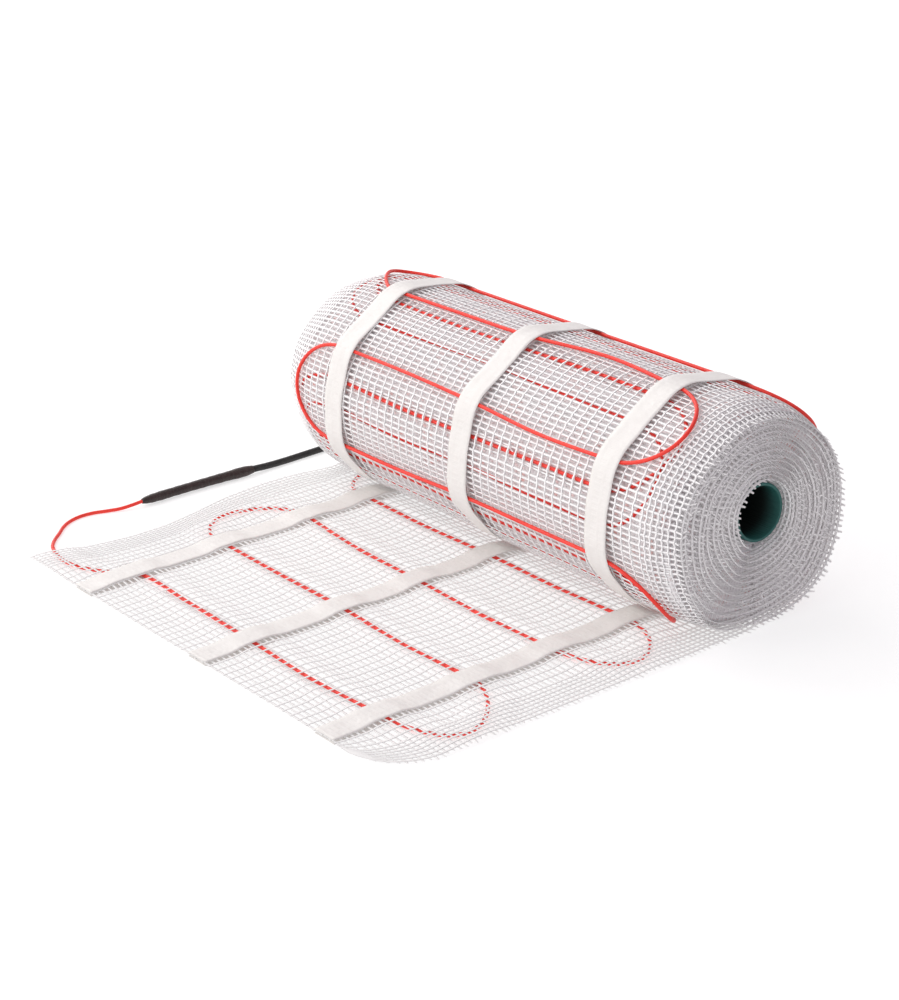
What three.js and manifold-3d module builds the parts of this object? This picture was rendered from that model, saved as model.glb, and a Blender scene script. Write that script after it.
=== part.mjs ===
// Underfloor heating mat, partly unrolled. Millimetres, +Z up.
// The roll's axis lies along X and the free end runs forward over the floor, towards -Y.
// The heating cable lies on the outside of the roll, which is the underside of the free end.

import * as THREE from "three";
import { mergeVertices } from "three/addons/utils/BufferGeometryUtils.js";
import Module from "manifold-3d";

// Clearance between pieces that touch on the real mat
const clearance = 0.3;

// Mesh
const matWidth = 500;
const meshThickness = 1;
const freeLength = 336;
const cornerRadius = 45;

// Coarse openings of the free end, which stand for the net's fine meshes
const openingsAcross = 12;
const openingsAlong = 9;
const barWidth = 8;

// Winding
const windingRadius = 89.8;
const turns = 13;
const turnEdgeDepth = 2.5;
const turnEdgeSlope = 0.7;
const settle = 10.8;
const settleSharpness = 6;
const shoulderDent = 3;
const shoulderAngle = 216;
const shoulderSpread = 26;
const leftTaper = 0.12;
const leftTaperLength = 60;
const rightTaper = 0.05;
const rightTaperLength = 25;

// Core tube
const coreOuterRadius = 22.5;
const coreWall = 2.3;
const coreRecess = 1;
const coreShift = 4.3;
const coreRise = 6.2;

// Heating cable
const cableDiameter = 3;
const runPitch = 74;
const firstRun = 48;
const bendRoom = 80;
const lastRunEnd = -80;

// Tapes
const tapeThickness = 0.4;
const tapeWidth = 24;
const leftTapeInset = 87;
const rightTapeInset = 77;
const centreTapePlace = 6.5;
const backingEnd = -37;
const tapeEndAngle = 328;
const tentPlateau = 3;
const tentSlope = 7;
const tentReach = 12;

// The mesh rises over a cable and sags to the tape between cables
const crestPlateau = 8;
const crestReach = 26;

// Splice and supply lead
const spliceLength = 108;
const spliceRadius = 4.2;
const leadDiameter = 5.8;
const coilRadius = 34;
const coilHeight = 23;
const coilBand = 18;
const coilEdge = 2;
const wireDiameter = 2.2;
const wireLength = 38;

// Facets
const rollSegments = 44;
const sheetStep = 17;
const sleeveSides = 16;
const coilSegments = 32;
const cableSides = 8;
const leadSides = 12;

const cableRadius = cableDiameter / 2;
const leadRadius = leadDiameter / 2;
const degree = Math.PI / 180;
const restHeight = tapeThickness + clearance;
const crestHeight = restHeight + cableDiameter + clearance;
const axisHeight = crestHeight + windingRadius - settle;
const boreRadius = coreOuterRadius + clearance;
const frontEdge = -freeLength;
const sheetTuck = 6;
const runReach = matWidth / 2 - bendRoom;
const tapePlaces = {
  left: leftTapeInset - matWidth / 2,
  centre: centreTapePlace,
  right: matWidth / 2 - rightTapeInset,
};

// The mat lies in two coordinates: x across it, and s along it from the line under the roll's axis.
// s is negative on the free end, and positive round the roll, from the floor up the back.

// Small wanderings of each run from its even place, in mm, at the five stations across the mat
const runStations = [tapePlaces.left, -80, tapePlaces.centre, 95, tapePlaces.right];
const runDrift = [
  [-1, 0, -2, -5, -1],
  [8, 7, 7, 3, 6],
  [15, 7, 5, 2, 4],
  [1, -1, 1, 0, 3],
  [5, 5, 5, 5, 5],
  [4, 4, 5, 4, 4],
  [4, 5, 5, 6, 5],
  [2, 2, 2, 3, 2],
  [-4, -5, -7, -16, -10],
  [-11, -11, -9, -5, -7],
  [-3, -3, -6, -6, -6],
  [5, 5, 5, 5, 1],
];

// How far each bend bulges past the runs it joins, and how much fuller it is on the side it comes from
const bends = [
  { bulge: 64, lean: 0.3 },
  { bulge: 43, lean: 0.1 },
  { bulge: 61, lean: 0.12 },
  { bulge: 39, lean: 0 },
  { bulge: 56, lean: 0.1 },
  { bulge: 42, lean: 0.1 },
  { bulge: 55, lean: 0.1 },
  { bulge: 49, lean: 0.45 },
  { bulge: 55, lean: 0 },
  { bulge: 52, lean: 0 },
  { bulge: 56, lean: 0.12 },
];

// The cable comes in over the mat's left edge, ahead of the first run
const cableEntry = [
  [-252, -314],
  [-244, -316.3],
  [-233, -318.5],
  [-220, -319],
  [-206, -316.5],
  [-193, -311.5],
  [-180, -304],
];

// The left edge waves in and out as it lies: place along the mat, and how far it is drawn in
const leftEdgeWave = [
  [-336, 0],
  [-295, 12],
  [-255, 20],
  [-222, 20],
  [-188, 13],
  [-155, 4],
  [-115, 0],
  [-85, 1],
  [-48, 9],
  [6, 0],
];

// Route of the cable's free stretch, from the mat's edge to the splice
const freeCableRoute = [
  [-252.4, -313.8, 2.2],
  [-259, -311, 1.9],
  [-270, -303, 1.6],
  [-280, -293, 1.6],
  [-289, -284.5, 1.6],
  [-296, -274.5, 1.6],
  [-299.5, -263, 1.6],
  [-298.5, -251, 1.6],
  [-294, -240, 1.6],
  [-289, -229.5, 2.2],
  [-285.5, -219, 3.8],
  [-284.6, -211.3, 4.7],
];

// Route of the supply lead, from the splice to its coil behind the roll
const leadRoute = [
  [-279.5, -102.4, 4.7],
  [-279.8, -88, 3.6],
  [-280.2, -70, 3],
  [-280.6, -43, 3],
  [-281, -12, 3],
  [-280, 18, 3],
  [-275, 46, 3],
  [-262, 70, 3],
  [-243, 87, 3],
  [-225, 101, 3],
  [-213.5, 114, 3],
  [-209.8, 127.8, 3],
];
const coilCentre = [-170, 150];

// Route of the lead from the coil to its stripped end
const leadEndRoute = [
  [-147.9, 189.9, 3],
  [-132, 190.5, 3],
  [-116, 191, 3],
  [-100, 190.5, 3],
  [-84, 189.4, 3],
  [-72, 189, 3],
];

const manifold = await Module();
manifold.setup();

const clamp = THREE.MathUtils.clamp;

// 1 within the plateau, falling smoothly to 0 at the reach.
function crest(distance, plateau, reach) {
  const t = clamp((distance - plateau) / (reach - plateau), 0, 1);
  return 0.5 + 0.5 * Math.cos(Math.PI * t);
}

// Linear reading between the pairs of a list, held level past its ends.
function readAlong(pairs, at) {
  if (at <= pairs[0][0]) return pairs[0][1];
  for (let i = 1; i < pairs.length; i++) {
    const [lowAt, low] = pairs[i - 1];
    const [highAt, high] = pairs[i];
    if (at <= highAt) return low + ((high - low) * (at - lowAt)) / (highAt - lowAt);
  }
  return pairs[pairs.length - 1][1];
}

// The winding is thinner past the tapes and the bends, so both ends of the roll narrow.
function taperAt(x) {
  const half = matWidth / 2;
  const left = clamp((leftTaperLength - half - x) / leftTaperLength, 0, 1);
  const right = clamp((x + rightTaperLength - half) / rightTaperLength, 0, 1);
  return leftTaper * Math.pow(left, 1.5) + rightTaper * Math.pow(right, 1.5);
}

// A point of the wound roll. Angle 0 is straight down and 90 degrees is the back.
// The weight flattens the underside, the front shoulder sinks, and the core stays round.
function rollPoint(x, radius, angle) {
  const outward = clamp((radius - boreRadius) / (windingRadius - boreRadius), 0, 1);
  const down = Math.max(0, Math.cos(angle));
  const fromShoulder = (angle / degree - shoulderAngle) / shoulderSpread;
  const dent = shoulderDent * Math.exp(-fromShoulder * fromShoulder);
  const narrowing = windingRadius * taperAt(x) * (1 - down * down);
  const reach = radius - (dent + narrowing) * outward;
  const flattening = settle * outward * Math.pow(down, settleSharpness);
  return new THREE.Vector3(
    x,
    reach * Math.sin(angle) + coreShift * (1 - outward),
    axisHeight - reach * Math.cos(angle) + coreRise * (1 - outward) + flattening,
  );
}

// A point below the mat's cable side: out is the distance from the mesh where it is at its crest.
function onMat(x, s, out) {
  if (s <= 0) return new THREE.Vector3(x, s, crestHeight - out);
  return rollPoint(x, windingRadius + out, s / windingRadius);
}

// Place of a run along the mat at x.
function runPlace(run, x) {
  const drift = runStations.map((station, i) => [station, runDrift[run][i]]);
  return frontEdge + firstRun + run * runPitch + readAlong(drift, x);
}

// The cable's course over the mat as [x, s]: run, bend, run, and so on.
function cableCourse() {
  const course = [...cableEntry];
  const lastRun = runDrift.length - 1;
  for (let run = 0; run <= lastRun; run++) {
    const rightward = run % 2 === 0;
    let across = [...runStations, runReach];
    if (run > 0) across.unshift(-runReach);
    if (run === lastRun) across = across.filter((x) => x >= lastRunEnd);
    if (!rightward) across.reverse();
    for (const x of across) course.push([x, runPlace(run, x)]);
    if (run < lastRun) course.push(...bendCourse(run, rightward ? 1 : -1));
  }
  return course;
}

// The bend after a run, a leaning half ellipse, without its two ends.
function bendCourse(run, side) {
  const { bulge, lean } = bends[run];
  const from = runPlace(run, side * runReach);
  const to = runPlace(run + 1, side * runReach);
  const points = [];
  for (let turn = 18; turn < 180; turn += 18) {
    const swing = Math.sin(turn * degree) * (1 + lean * Math.cos(turn * degree));
    const along = (from + to) / 2 - ((to - from) / 2) * Math.cos(turn * degree);
    points.push([side * (runReach + bulge * swing), along]);
  }
  return points;
}

const course = cableCourse();
const courseOnFloor = course.filter(([, s]) => s < crestReach);

// Distance from a point of the free end to the nearest piece of cable.
function cableDistance(x, s) {
  let nearest = Infinity;
  for (let i = 1; i < courseOnFloor.length; i++) {
    const [x0, s0] = courseOnFloor[i - 1];
    const [x1, s1] = courseOnFloor[i];
    const along = (x - x0) * (x1 - x0) + (s - s0) * (s1 - s0);
    const t = clamp(along / ((x1 - x0) ** 2 + (s1 - s0) ** 2), 0, 1);
    nearest = Math.min(nearest, Math.hypot(x - x0 - t * (x1 - x0), s - s0 - t * (s1 - s0)));
  }
  return nearest;
}

// Height of the mesh's underside on the free end. A tape keeps the mesh level across its width.
function meshHeight(x, s) {
  const half = tapeWidth / 2;
  const tape = Object.values(tapePlaces).find((centre) => Math.abs(x - centre) <= half);
  const across = tape === undefined ? [x] : [tape - half, tape, tape + half];
  const nearest = Math.min(...across.map((place) => cableDistance(place, s)));
  return restHeight + (crestHeight - restHeight) * crest(nearest, crestPlateau, crestReach);
}

// Grid lines from low to high: both sides of each bar, the marks, and even steps between them.
function gridPlaces(low, high, openings, marks) {
  const pitch = (high - low - barWidth) / openings;
  const lines = [...marks];
  for (let bar = 0; bar <= openings; bar++) lines.push(low + bar * pitch, low + bar * pitch + barWidth);
  lines.sort((a, b) => a - b);
  const places = [lines[0]];
  for (let i = 1; i < lines.length; i++) {
    const span = lines[i] - lines[i - 1];
    const steps = span < 1e-6 ? 0 : Math.ceil(span / sheetStep);
    for (let k = 1; k <= steps; k++) places.push(lines[i - 1] + (span * k) / steps);
  }
  return places;
}

// Whether a place from low to high lies on a bar between openings.
function onBar(place, low, high, openings) {
  const pitch = (high - low - barWidth) / openings;
  return (place - low) % pitch < barWidth;
}

// Moves x into the mat's waved left edge and rounded front corner, past the outer tapes.
function insideEdges(x, s) {
  const half = matWidth / 2;
  const leftTape = tapePlaces.left - tapeWidth / 2;
  const rightTape = tapePlaces.right + tapeWidth / 2;
  if (x < leftTape) {
    const edge = -half + readAlong(leftEdgeWave, s);
    return leftTape + ((x - leftTape) * (edge - leftTape)) / (-half - leftTape);
  }
  if (x > rightTape) {
    const fromCorner = clamp(frontEdge + cornerRadius - s, 0, cornerRadius);
    const edge = half - cornerRadius + Math.sqrt(cornerRadius ** 2 - fromCorner ** 2);
    return rightTape + ((x - rightTape) * (edge - rightTape)) / (half - rightTape);
  }
  return x;
}

// Moves every vertex of a geometry to where the given function puts it.
function reshape(geometry, place) {
  const positions = geometry.getAttribute("position");
  for (let i = 0; i < positions.count; i++) {
    const p = place(positions.getX(i), positions.getY(i), positions.getZ(i));
    positions.setXYZ(i, p.x, p.y, p.z);
  }
  return geometry;
}

function toSolid(geometry) {
  const bare = geometry.clone().deleteAttribute("normal").deleteAttribute("uv");
  const merged = mergeVertices(bare, 1e-3);
  return new manifold.Manifold(
    new manifold.Mesh({
      numProp: 3,
      vertProperties: new Float32Array(merged.getAttribute("position").array),
      triVerts: new Uint32Array(merged.index.array),
    }),
  );
}

function toGeometry(solid) {
  const mesh = solid.getMesh();
  const geometry = new THREE.BufferGeometry();
  geometry.setAttribute("position", new THREE.BufferAttribute(mesh.vertProperties, 3));
  geometry.setIndex(new THREE.BufferAttribute(mesh.triVerts, 1));
  geometry.computeVertexNormals();
  return geometry;
}

function named(name, geometry, material) {
  const mesh = new THREE.Mesh(geometry, material);
  mesh.name = name;
  return mesh;
}

// A curve whose even steps fall on its own points, so bends and straights get the points they need.
class PointedCurve extends THREE.CatmullRomCurve3 {
  getUtoTmapping(u) {
    return u;
  }
}

// A round rod through the given points, with one section at each of them.
function rod(points, radius, sides) {
  const section = new THREE.Shape();
  for (let i = 0; i < sides; i++) {
    const angle = (2 * Math.PI * i) / sides;
    const corner = [radius * Math.cos(angle), radius * Math.sin(angle)];
    if (i === 0) section.moveTo(...corner);
    else section.lineTo(...corner);
  }
  section.closePath();
  return new THREE.ExtrudeGeometry(section, {
    steps: points.length - 1,
    extrudePath: new PointedCurve(points),
  });
}

function vectors(list) {
  return list.map((p) => new THREE.Vector3(...p));
}

// A solid turned round Y from pairs of radius and place along the axis.
function turnedSolid(profile, segments) {
  return new THREE.LatheGeometry(
    profile.map(([radius, along]) => new THREE.Vector2(radius, along)),
    segments,
  );
}

// The wound part: a turned ring along X whose ends step at every turn.
function woundRoll() {
  const half = matWidth / 2;
  const pitch = (windingRadius - boreRadius) / turns;
  const profile = [];
  const outerStations = [0, 10, 22, 38, leftTaperLength].map((d) => -half + d);
  outerStations.push(half - rightTaperLength, half - 10, half);
  for (const x of outerStations) profile.push([windingRadius, x]);
  const endFace = (side) => {
    const steps = [];
    for (let turn = turns; turn > 0; turn--) {
      const outer = boreRadius + turn * pitch;
      if (turn < turns) steps.push([outer, side * half]);
      steps.push([outer - pitch * turnEdgeSlope, side * (half - turnEdgeDepth)]);
    }
    steps.push([boreRadius, side * half]);
    return steps;
  };
  profile.push(...endFace(1), ...endFace(-1).reverse());
  profile.push(profile[0]);
  const turned = turnedSolid(profile.reverse(), rollSegments);
  return reshape(turned, (x, y, z) => {
    const angle = Math.atan2(x, -z) < 0 ? Math.atan2(x, -z) + 2 * Math.PI : Math.atan2(x, -z);
    return rollPoint(y, Math.hypot(x, z), angle);
  });
}

// A closed sheet over a grid of places, with walls round its rim and round each opening.
// place(x, s, level) gives its lower face at level 0 and its upper face at level 1.
function gridSheet(columns, rows, isFilled, place) {
  const positions = [];
  for (const s of rows) {
    for (const x of columns) positions.push(...place(x, s, 0).toArray(), ...place(x, s, 1).toArray());
  }
  const index = [];
  const addQuad = (a, b, c, d) => index.push(a, b, c, a, c, d);
  const corner = ([column, row], level) => 2 * (row * columns.length + column) + level;
  const addWall = (from, to) => addQuad(corner(from, 0), corner(to, 0), corner(to, 1), corner(from, 1));
  const filled = (column, row) => {
    const inside = column >= 0 && row >= 0 && column < columns.length - 1 && row < rows.length - 1;
    if (!inside) return false;
    return isFilled((columns[column] + columns[column + 1]) / 2, (rows[row] + rows[row + 1]) / 2);
  };
  for (let row = 0; row < rows.length - 1; row++) {
    for (let column = 0; column < columns.length - 1; column++) {
      if (!filled(column, row)) continue;
      const southWest = [column, row];
      const southEast = [column + 1, row];
      const northEast = [column + 1, row + 1];
      const northWest = [column, row + 1];
      addQuad(corner(southWest, 1), corner(southEast, 1), corner(northEast, 1), corner(northWest, 1));
      addQuad(corner(southWest, 0), corner(northWest, 0), corner(northEast, 0), corner(southEast, 0));
      if (!filled(column, row - 1)) addWall(southWest, southEast);
      if (!filled(column + 1, row)) addWall(southEast, northEast);
      if (!filled(column, row + 1)) addWall(northEast, northWest);
      if (!filled(column - 1, row)) addWall(northWest, southWest);
    }
  }
  const geometry = new THREE.BufferGeometry();
  geometry.setAttribute("position", new THREE.Float32BufferAttribute(positions, 3));
  geometry.setIndex(index);
  geometry.computeVertexNormals();
  return geometry;
}

// Rows of the free end's facets; the backing tapes share them.
const sheetRows = gridPlaces(frontEdge, sheetTuck, openingsAlong, []);

// The free end: a thin openwork sheet that waves over the cable, tucked under the roll at its back edge.
function freeEnd() {
  const half = matWidth / 2;
  const tapes = Object.values(tapePlaces);
  const tapeLines = tapes.flatMap((centre) => [centre - tapeWidth / 2, centre, centre + tapeWidth / 2]);
  const columns = gridPlaces(-half, half, openingsAcross, tapeLines);
  const isFilled = (x, s) =>
    onBar(x, -half, half, openingsAcross) || onBar(s, frontEdge, sheetTuck, openingsAlong);
  return gridSheet(columns, sheetRows, isFilled, (x, s, level) => {
    const across = insideEdges(x, s);
    return new THREE.Vector3(across, s, meshHeight(across, s) + level * meshThickness);
  });
}

function coreTube() {
  const half = matWidth / 2 - coreRecess;
  const inner = coreOuterRadius - coreWall;
  const profile = [
    [inner, -half],
    [coreOuterRadius, -half],
    [coreOuterRadius, half],
    [inner, half],
    [inner, -half],
  ];
  const tube = turnedSolid(profile, rollSegments);
  tube.rotateZ(-Math.PI / 2);
  return tube;
}

// Places along the mat where a tape needs a section: every facet of the roll, and close to each run.
function tapeSections(x) {
  const places = [frontEdge, 0];
  const end = tapeEndAngle * degree * windingRadius;
  const facet = (2 * Math.PI * windingRadius) / rollSegments;
  for (let s = facet; s < end; s += facet) places.push(s);
  for (let run = 0; run < runDrift.length; run++) {
    const s = runPlace(run, x);
    for (const d of [-tentReach, -tentSlope, -tentPlateau, tentPlateau, tentSlope, tentReach]) places.push(s + d);
  }
  places.push(end);
  places.sort((a, b) => a - b);
  const kept = places.filter((s) => s === frontEdge || (s >= 0 && s <= end));
  return kept.filter((s, i) => i === 0 || i === kept.length - 1 || s - kept[i - 1] > 1);
}

// How far a tape's inner face stands off the mesh: flat on the floor, and tented over each run.
function tapeStandoff(x, s) {
  const over = cableDiameter + 2 * clearance;
  const firstWoundRun = runDrift.findIndex((drift, run) => runPlace(run, x) > 0);
  if (s <= runPlace(firstWoundRun, x)) return over;
  let nearest = Infinity;
  for (let run = firstWoundRun; run < runDrift.length; run++) {
    nearest = Math.min(nearest, Math.abs(s - runPlace(run, x)));
  }
  return clearance + (over - clearance) * crest(nearest, tentPlateau, tentReach);
}

// A fixing tape: under the free end, then round the roll over the cable.
function fixingTape(centre) {
  const sections = tapeSections(centre);
  const inner = sections.map((s) => onMat(centre, s, tapeStandoff(centre, s)));
  const outer = sections.map((s) => onMat(centre, s, tapeStandoff(centre, s) + tapeThickness));
  const outline = new THREE.Shape();
  const corners = [...outer, ...inner.reverse()];
  corners.forEach((p, i) => (i === 0 ? outline.moveTo(p.y, p.z) : outline.lineTo(p.y, p.z)));
  outline.closePath();
  const strip = new THREE.ExtrudeGeometry(outline, { depth: tapeWidth, bevelEnabled: false });
  return reshape(strip, (x, y, z) => new THREE.Vector3(centre - tapeWidth / 2 + z, x, y));
}

// A backing tape: on the mesh's upper side, over the free end only as far as the roll.
function backingTape(centre) {
  const columns = [centre - tapeWidth / 2, centre, centre + tapeWidth / 2];
  const rows = sheetRows.filter((s) => s <= backingEnd);
  return gridSheet(columns, rows, () => true, (x, s, level) => {
    const base = meshHeight(x, s) + meshThickness + clearance;
    return new THREE.Vector3(x, s, base + level * tapeThickness);
  });
}

// The shrink sleeve over the joint between the heating cable and the supply lead.
function spliceSleeve() {
  const profile = [
    [0, 0],
    [spliceRadius * 0.5, 0],
    [spliceRadius * 0.84, 7],
    [spliceRadius * 0.95, 22],
    [spliceRadius, spliceLength - 22],
    [spliceRadius * 1.08, spliceLength - 14],
    [spliceRadius * 1.04, spliceLength - 6],
    [spliceRadius * 0.78, spliceLength],
    [0, spliceLength],
  ];
  return turnedSolid(profile, sleeveSides);
}

// The closed outer shape of the coiled lead; its turns fill it.
function supplyCoil() {
  const inner = coilRadius - coilBand / 2;
  const outer = coilRadius + coilBand / 2;
  const profile = [
    [inner, coilEdge],
    [inner + coilEdge, 0],
    [outer - coilEdge, 0],
    [outer, coilEdge],
    [outer, coilHeight - coilEdge],
    [outer - coilEdge, coilHeight],
    [inner + coilEdge, coilHeight],
    [inner, coilHeight - coilEdge],
    [inner, coilEdge],
  ];
  const ring = turnedSolid(profile, coilSegments);
  ring.rotateX(Math.PI / 2);
  return ring;
}

// A stripped wire: it leaves the sheath beside its neighbours and fans out to the floor.
function strippedWire(sideOffset, heightOffset, fan) {
  const [x0, y0, z0] = leadEndRoute[leadEndRoute.length - 1];
  const points = [];
  for (let i = 0; i <= 6; i++) {
    const t = i / 6;
    const ease = t * t * (3 - 2 * t);
    points.push([
      x0 + clearance + wireLength * t,
      y0 + sideOffset + fan * ease,
      z0 + heightOffset + (wireDiameter / 2 + 0.1 - z0 - heightOffset) * ease,
    ]);
  }
  return rod(vectors(points), wireDiameter / 2, cableSides);
}

function finish(colour, roughness, metalness = 0) {
  return new THREE.MeshStandardMaterial({ color: colour, roughness, metalness });
}

const whiteMesh = finish(0xf3efee, 0.75);
const whiteTape = finish(0xf6f3f0, 0.55);
const redSheath = finish(0xe93a33, 0.42);
const darkSleeve = finish(0x332623, 0.5);
const blackSheath = finish(0x161311, 0.5);
const greenTube = finish(0x14504a, 0.6);

const cordMeshes = [];
const matMeshes = [];

matMeshes.push(named("mesh_mat", toGeometry(toSolid(woundRoll()).add(toSolid(freeEnd()))), whiteMesh));

const core = named("core_tube", coreTube(), greenTube);
core.position.set(0, coreShift, axisHeight + coreRise);
matMeshes.push(core);

for (const [side, centre] of Object.entries(tapePlaces)) {
  matMeshes.push(named("fixing_tape_" + side, fixingTape(centre), whiteTape));
  matMeshes.push(named("backing_tape_" + side, backingTape(centre), whiteTape));
}

const cableAxis = course.map(([x, s]) => onMat(x, s, clearance + cableRadius));
matMeshes.push(named("heating_cable", rod(cableAxis, cableRadius, cableSides), redSheath));

cordMeshes.push(named("cable_free_stretch", rod(vectors(freeCableRoute), cableRadius, cableSides), redSheath));

const sleeve = named("splice_sleeve", spliceSleeve(), darkSleeve);
const sleeveStart = new THREE.Vector3(...freeCableRoute[freeCableRoute.length - 1]);
const sleeveWay = new THREE.Vector3(...leadRoute[0]).sub(sleeveStart).normalize();
sleeve.quaternion.setFromUnitVectors(new THREE.Vector3(0, 1, 0), sleeveWay);
sleeve.position.copy(sleeveStart).addScaledVector(sleeveWay, clearance);
cordMeshes.push(sleeve);

cordMeshes.push(named("supply_lead", rod(vectors(leadRoute), leadRadius, leadSides), blackSheath));

const coil = named("supply_coil", supplyCoil(), blackSheath);
coil.position.set(coilCentre[0], coilCentre[1], 0);
cordMeshes.push(coil);

cordMeshes.push(named("supply_lead_end", rod(vectors(leadEndRoute), leadRadius, leadSides), blackSheath));
cordMeshes.push(named("wire_brown", strippedWire(-1.4, -0.8, -7), finish(0x6b3a1e, 0.45)));
cordMeshes.push(named("wire_earth", strippedWire(0, 1.6, 0), finish(0x5c9a2a, 0.45)));
cordMeshes.push(named("wire_blue", strippedWire(1.4, -0.8, 7), finish(0x1f5fb0, 0.45)));

// The origin is at the middle of the mat's own box, on the floor; the cord doesn't move it.
const mat = new THREE.Group();
mat.add(...matMeshes);
const box = new THREE.Box3().setFromObject(mat);
mat.add(...cordMeshes);
mat.position.set(-(box.min.x + box.max.x) / 2, -(box.min.y + box.max.y) / 2, -box.min.z);

export default mat;
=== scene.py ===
"""Looks of the partly unrolled underfloor heating mat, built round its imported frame. Metres, +Z up.

The mat is described in two coordinates, as its solids are: x across it, and s along it from the line
under the roll's axis. s is negative on the free end and positive round the roll, up its back.
"""

import logging
import math
from collections.abc import Callable, Sequence
from dataclasses import dataclass, field
from enum import Enum

import bmesh
import bpy
import numpy as np
from mathutils import Matrix, Vector


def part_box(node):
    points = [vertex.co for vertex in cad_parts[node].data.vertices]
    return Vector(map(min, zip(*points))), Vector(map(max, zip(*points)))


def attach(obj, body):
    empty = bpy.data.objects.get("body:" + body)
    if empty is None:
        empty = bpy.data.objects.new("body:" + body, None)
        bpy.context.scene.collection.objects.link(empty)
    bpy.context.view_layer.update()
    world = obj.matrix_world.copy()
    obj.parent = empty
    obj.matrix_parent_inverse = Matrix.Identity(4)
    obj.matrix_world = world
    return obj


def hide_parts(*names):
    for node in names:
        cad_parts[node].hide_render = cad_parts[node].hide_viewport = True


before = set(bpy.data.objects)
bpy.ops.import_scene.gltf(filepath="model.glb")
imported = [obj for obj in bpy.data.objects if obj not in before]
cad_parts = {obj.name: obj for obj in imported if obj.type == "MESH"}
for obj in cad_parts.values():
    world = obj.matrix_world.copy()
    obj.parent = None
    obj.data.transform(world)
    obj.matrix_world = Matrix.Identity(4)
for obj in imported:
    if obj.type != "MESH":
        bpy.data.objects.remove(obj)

Array = np.ndarray
Surface = Callable[[Array, Array, Array], Array]
log = logging.getLogger("heating_mat")

BODY = "root"
MM = 0.001
DEGREE = math.pi / 180
WARP_PITCH = 9.75 * MM
WEFT_PITCH = 4.7 * MM


class Slot(Enum):
    """Material slots of the record."""

    NET = "glass_fibre_mesh"
    TAPE = "white_tape"
    CABLE = "red_cable"
    SLEEVE = "shrink_sleeve"
    LEAD = "black_lead"
    CORE = "core_green"
    BROWN = "wire_brown"
    EARTH = "wire_green"
    BLUE = "wire_blue"


class Side(Enum):
    """The two ends of the roll; the value is the sign of x."""

    LEFT = -1
    RIGHT = 1


def smooth(t: Array) -> Array:
    """Smooth step from 0 to 1 as t goes from 0 to 1."""
    t = np.clip(t, 0.0, 1.0)
    return t * t * (3.0 - 2.0 * t)


def crest(distance: Array, plateau: float, reach: float) -> Array:
    """Bump profile over a cable.

    Args:
        distance: Distance from the cable's axis.
        plateau: Distance up to which the bump is at its full height.
        reach: Distance at which the bump has died out.

    Returns:
        1 within the plateau, falling smoothly to 0 at the reach.
    """
    t = np.clip((distance - plateau) / (reach - plateau), 0.0, 1.0)
    return 0.5 + 0.5 * np.cos(np.pi * t)


def spline(points: Sequence[Sequence[float]], step: float) -> Array:
    """Centripetal Catmull-Rom curve through points, at even steps.

    Args:
        points: Points of any dimension.
        step: Distance between the samples, near enough.

    Returns:
        Samples from the first point to the last.
    """
    given = np.asarray(points, float)
    ends = np.vstack([2 * given[0] - given[1], given, 2 * given[-1] - given[-2]])
    fine = []
    for i in range(1, len(ends) - 2):
        p0, p1, p2, p3 = ends[i - 1 : i + 3]
        t = np.linspace(0, 1, 12, endpoint=False)[:, None]
        k0 = max(np.linalg.norm(p1 - p0), 1e-9) ** 0.5
        k1 = max(np.linalg.norm(p2 - p1), 1e-9) ** 0.5
        k2 = max(np.linalg.norm(p3 - p2), 1e-9) ** 0.5
        m1 = (p2 - p1) + k1 * ((p1 - p0) / k0 - (p2 - p0) / (k0 + k1))
        m2 = (p2 - p1) + k1 * ((p3 - p2) / k2 - (p3 - p1) / (k1 + k2))
        t2, t3 = t * t, t * t * t
        leaving = (2 * t3 - 3 * t2 + 1) * p1 + (t3 - 2 * t2 + t) * m1
        fine.append(leaving + (3 * t2 - 2 * t3) * p2 + (t3 - t2) * m2)
    fine.append(given[-1:])
    line = np.vstack(fine)
    run = np.concatenate([[0.0], np.cumsum(np.linalg.norm(np.diff(line, axis=0), axis=1))])
    even = np.linspace(0, run[-1], max(2, round(run[-1] / step) + 1))
    return np.column_stack([np.interp(even, run, line[:, i]) for i in range(line.shape[1])])


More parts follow.
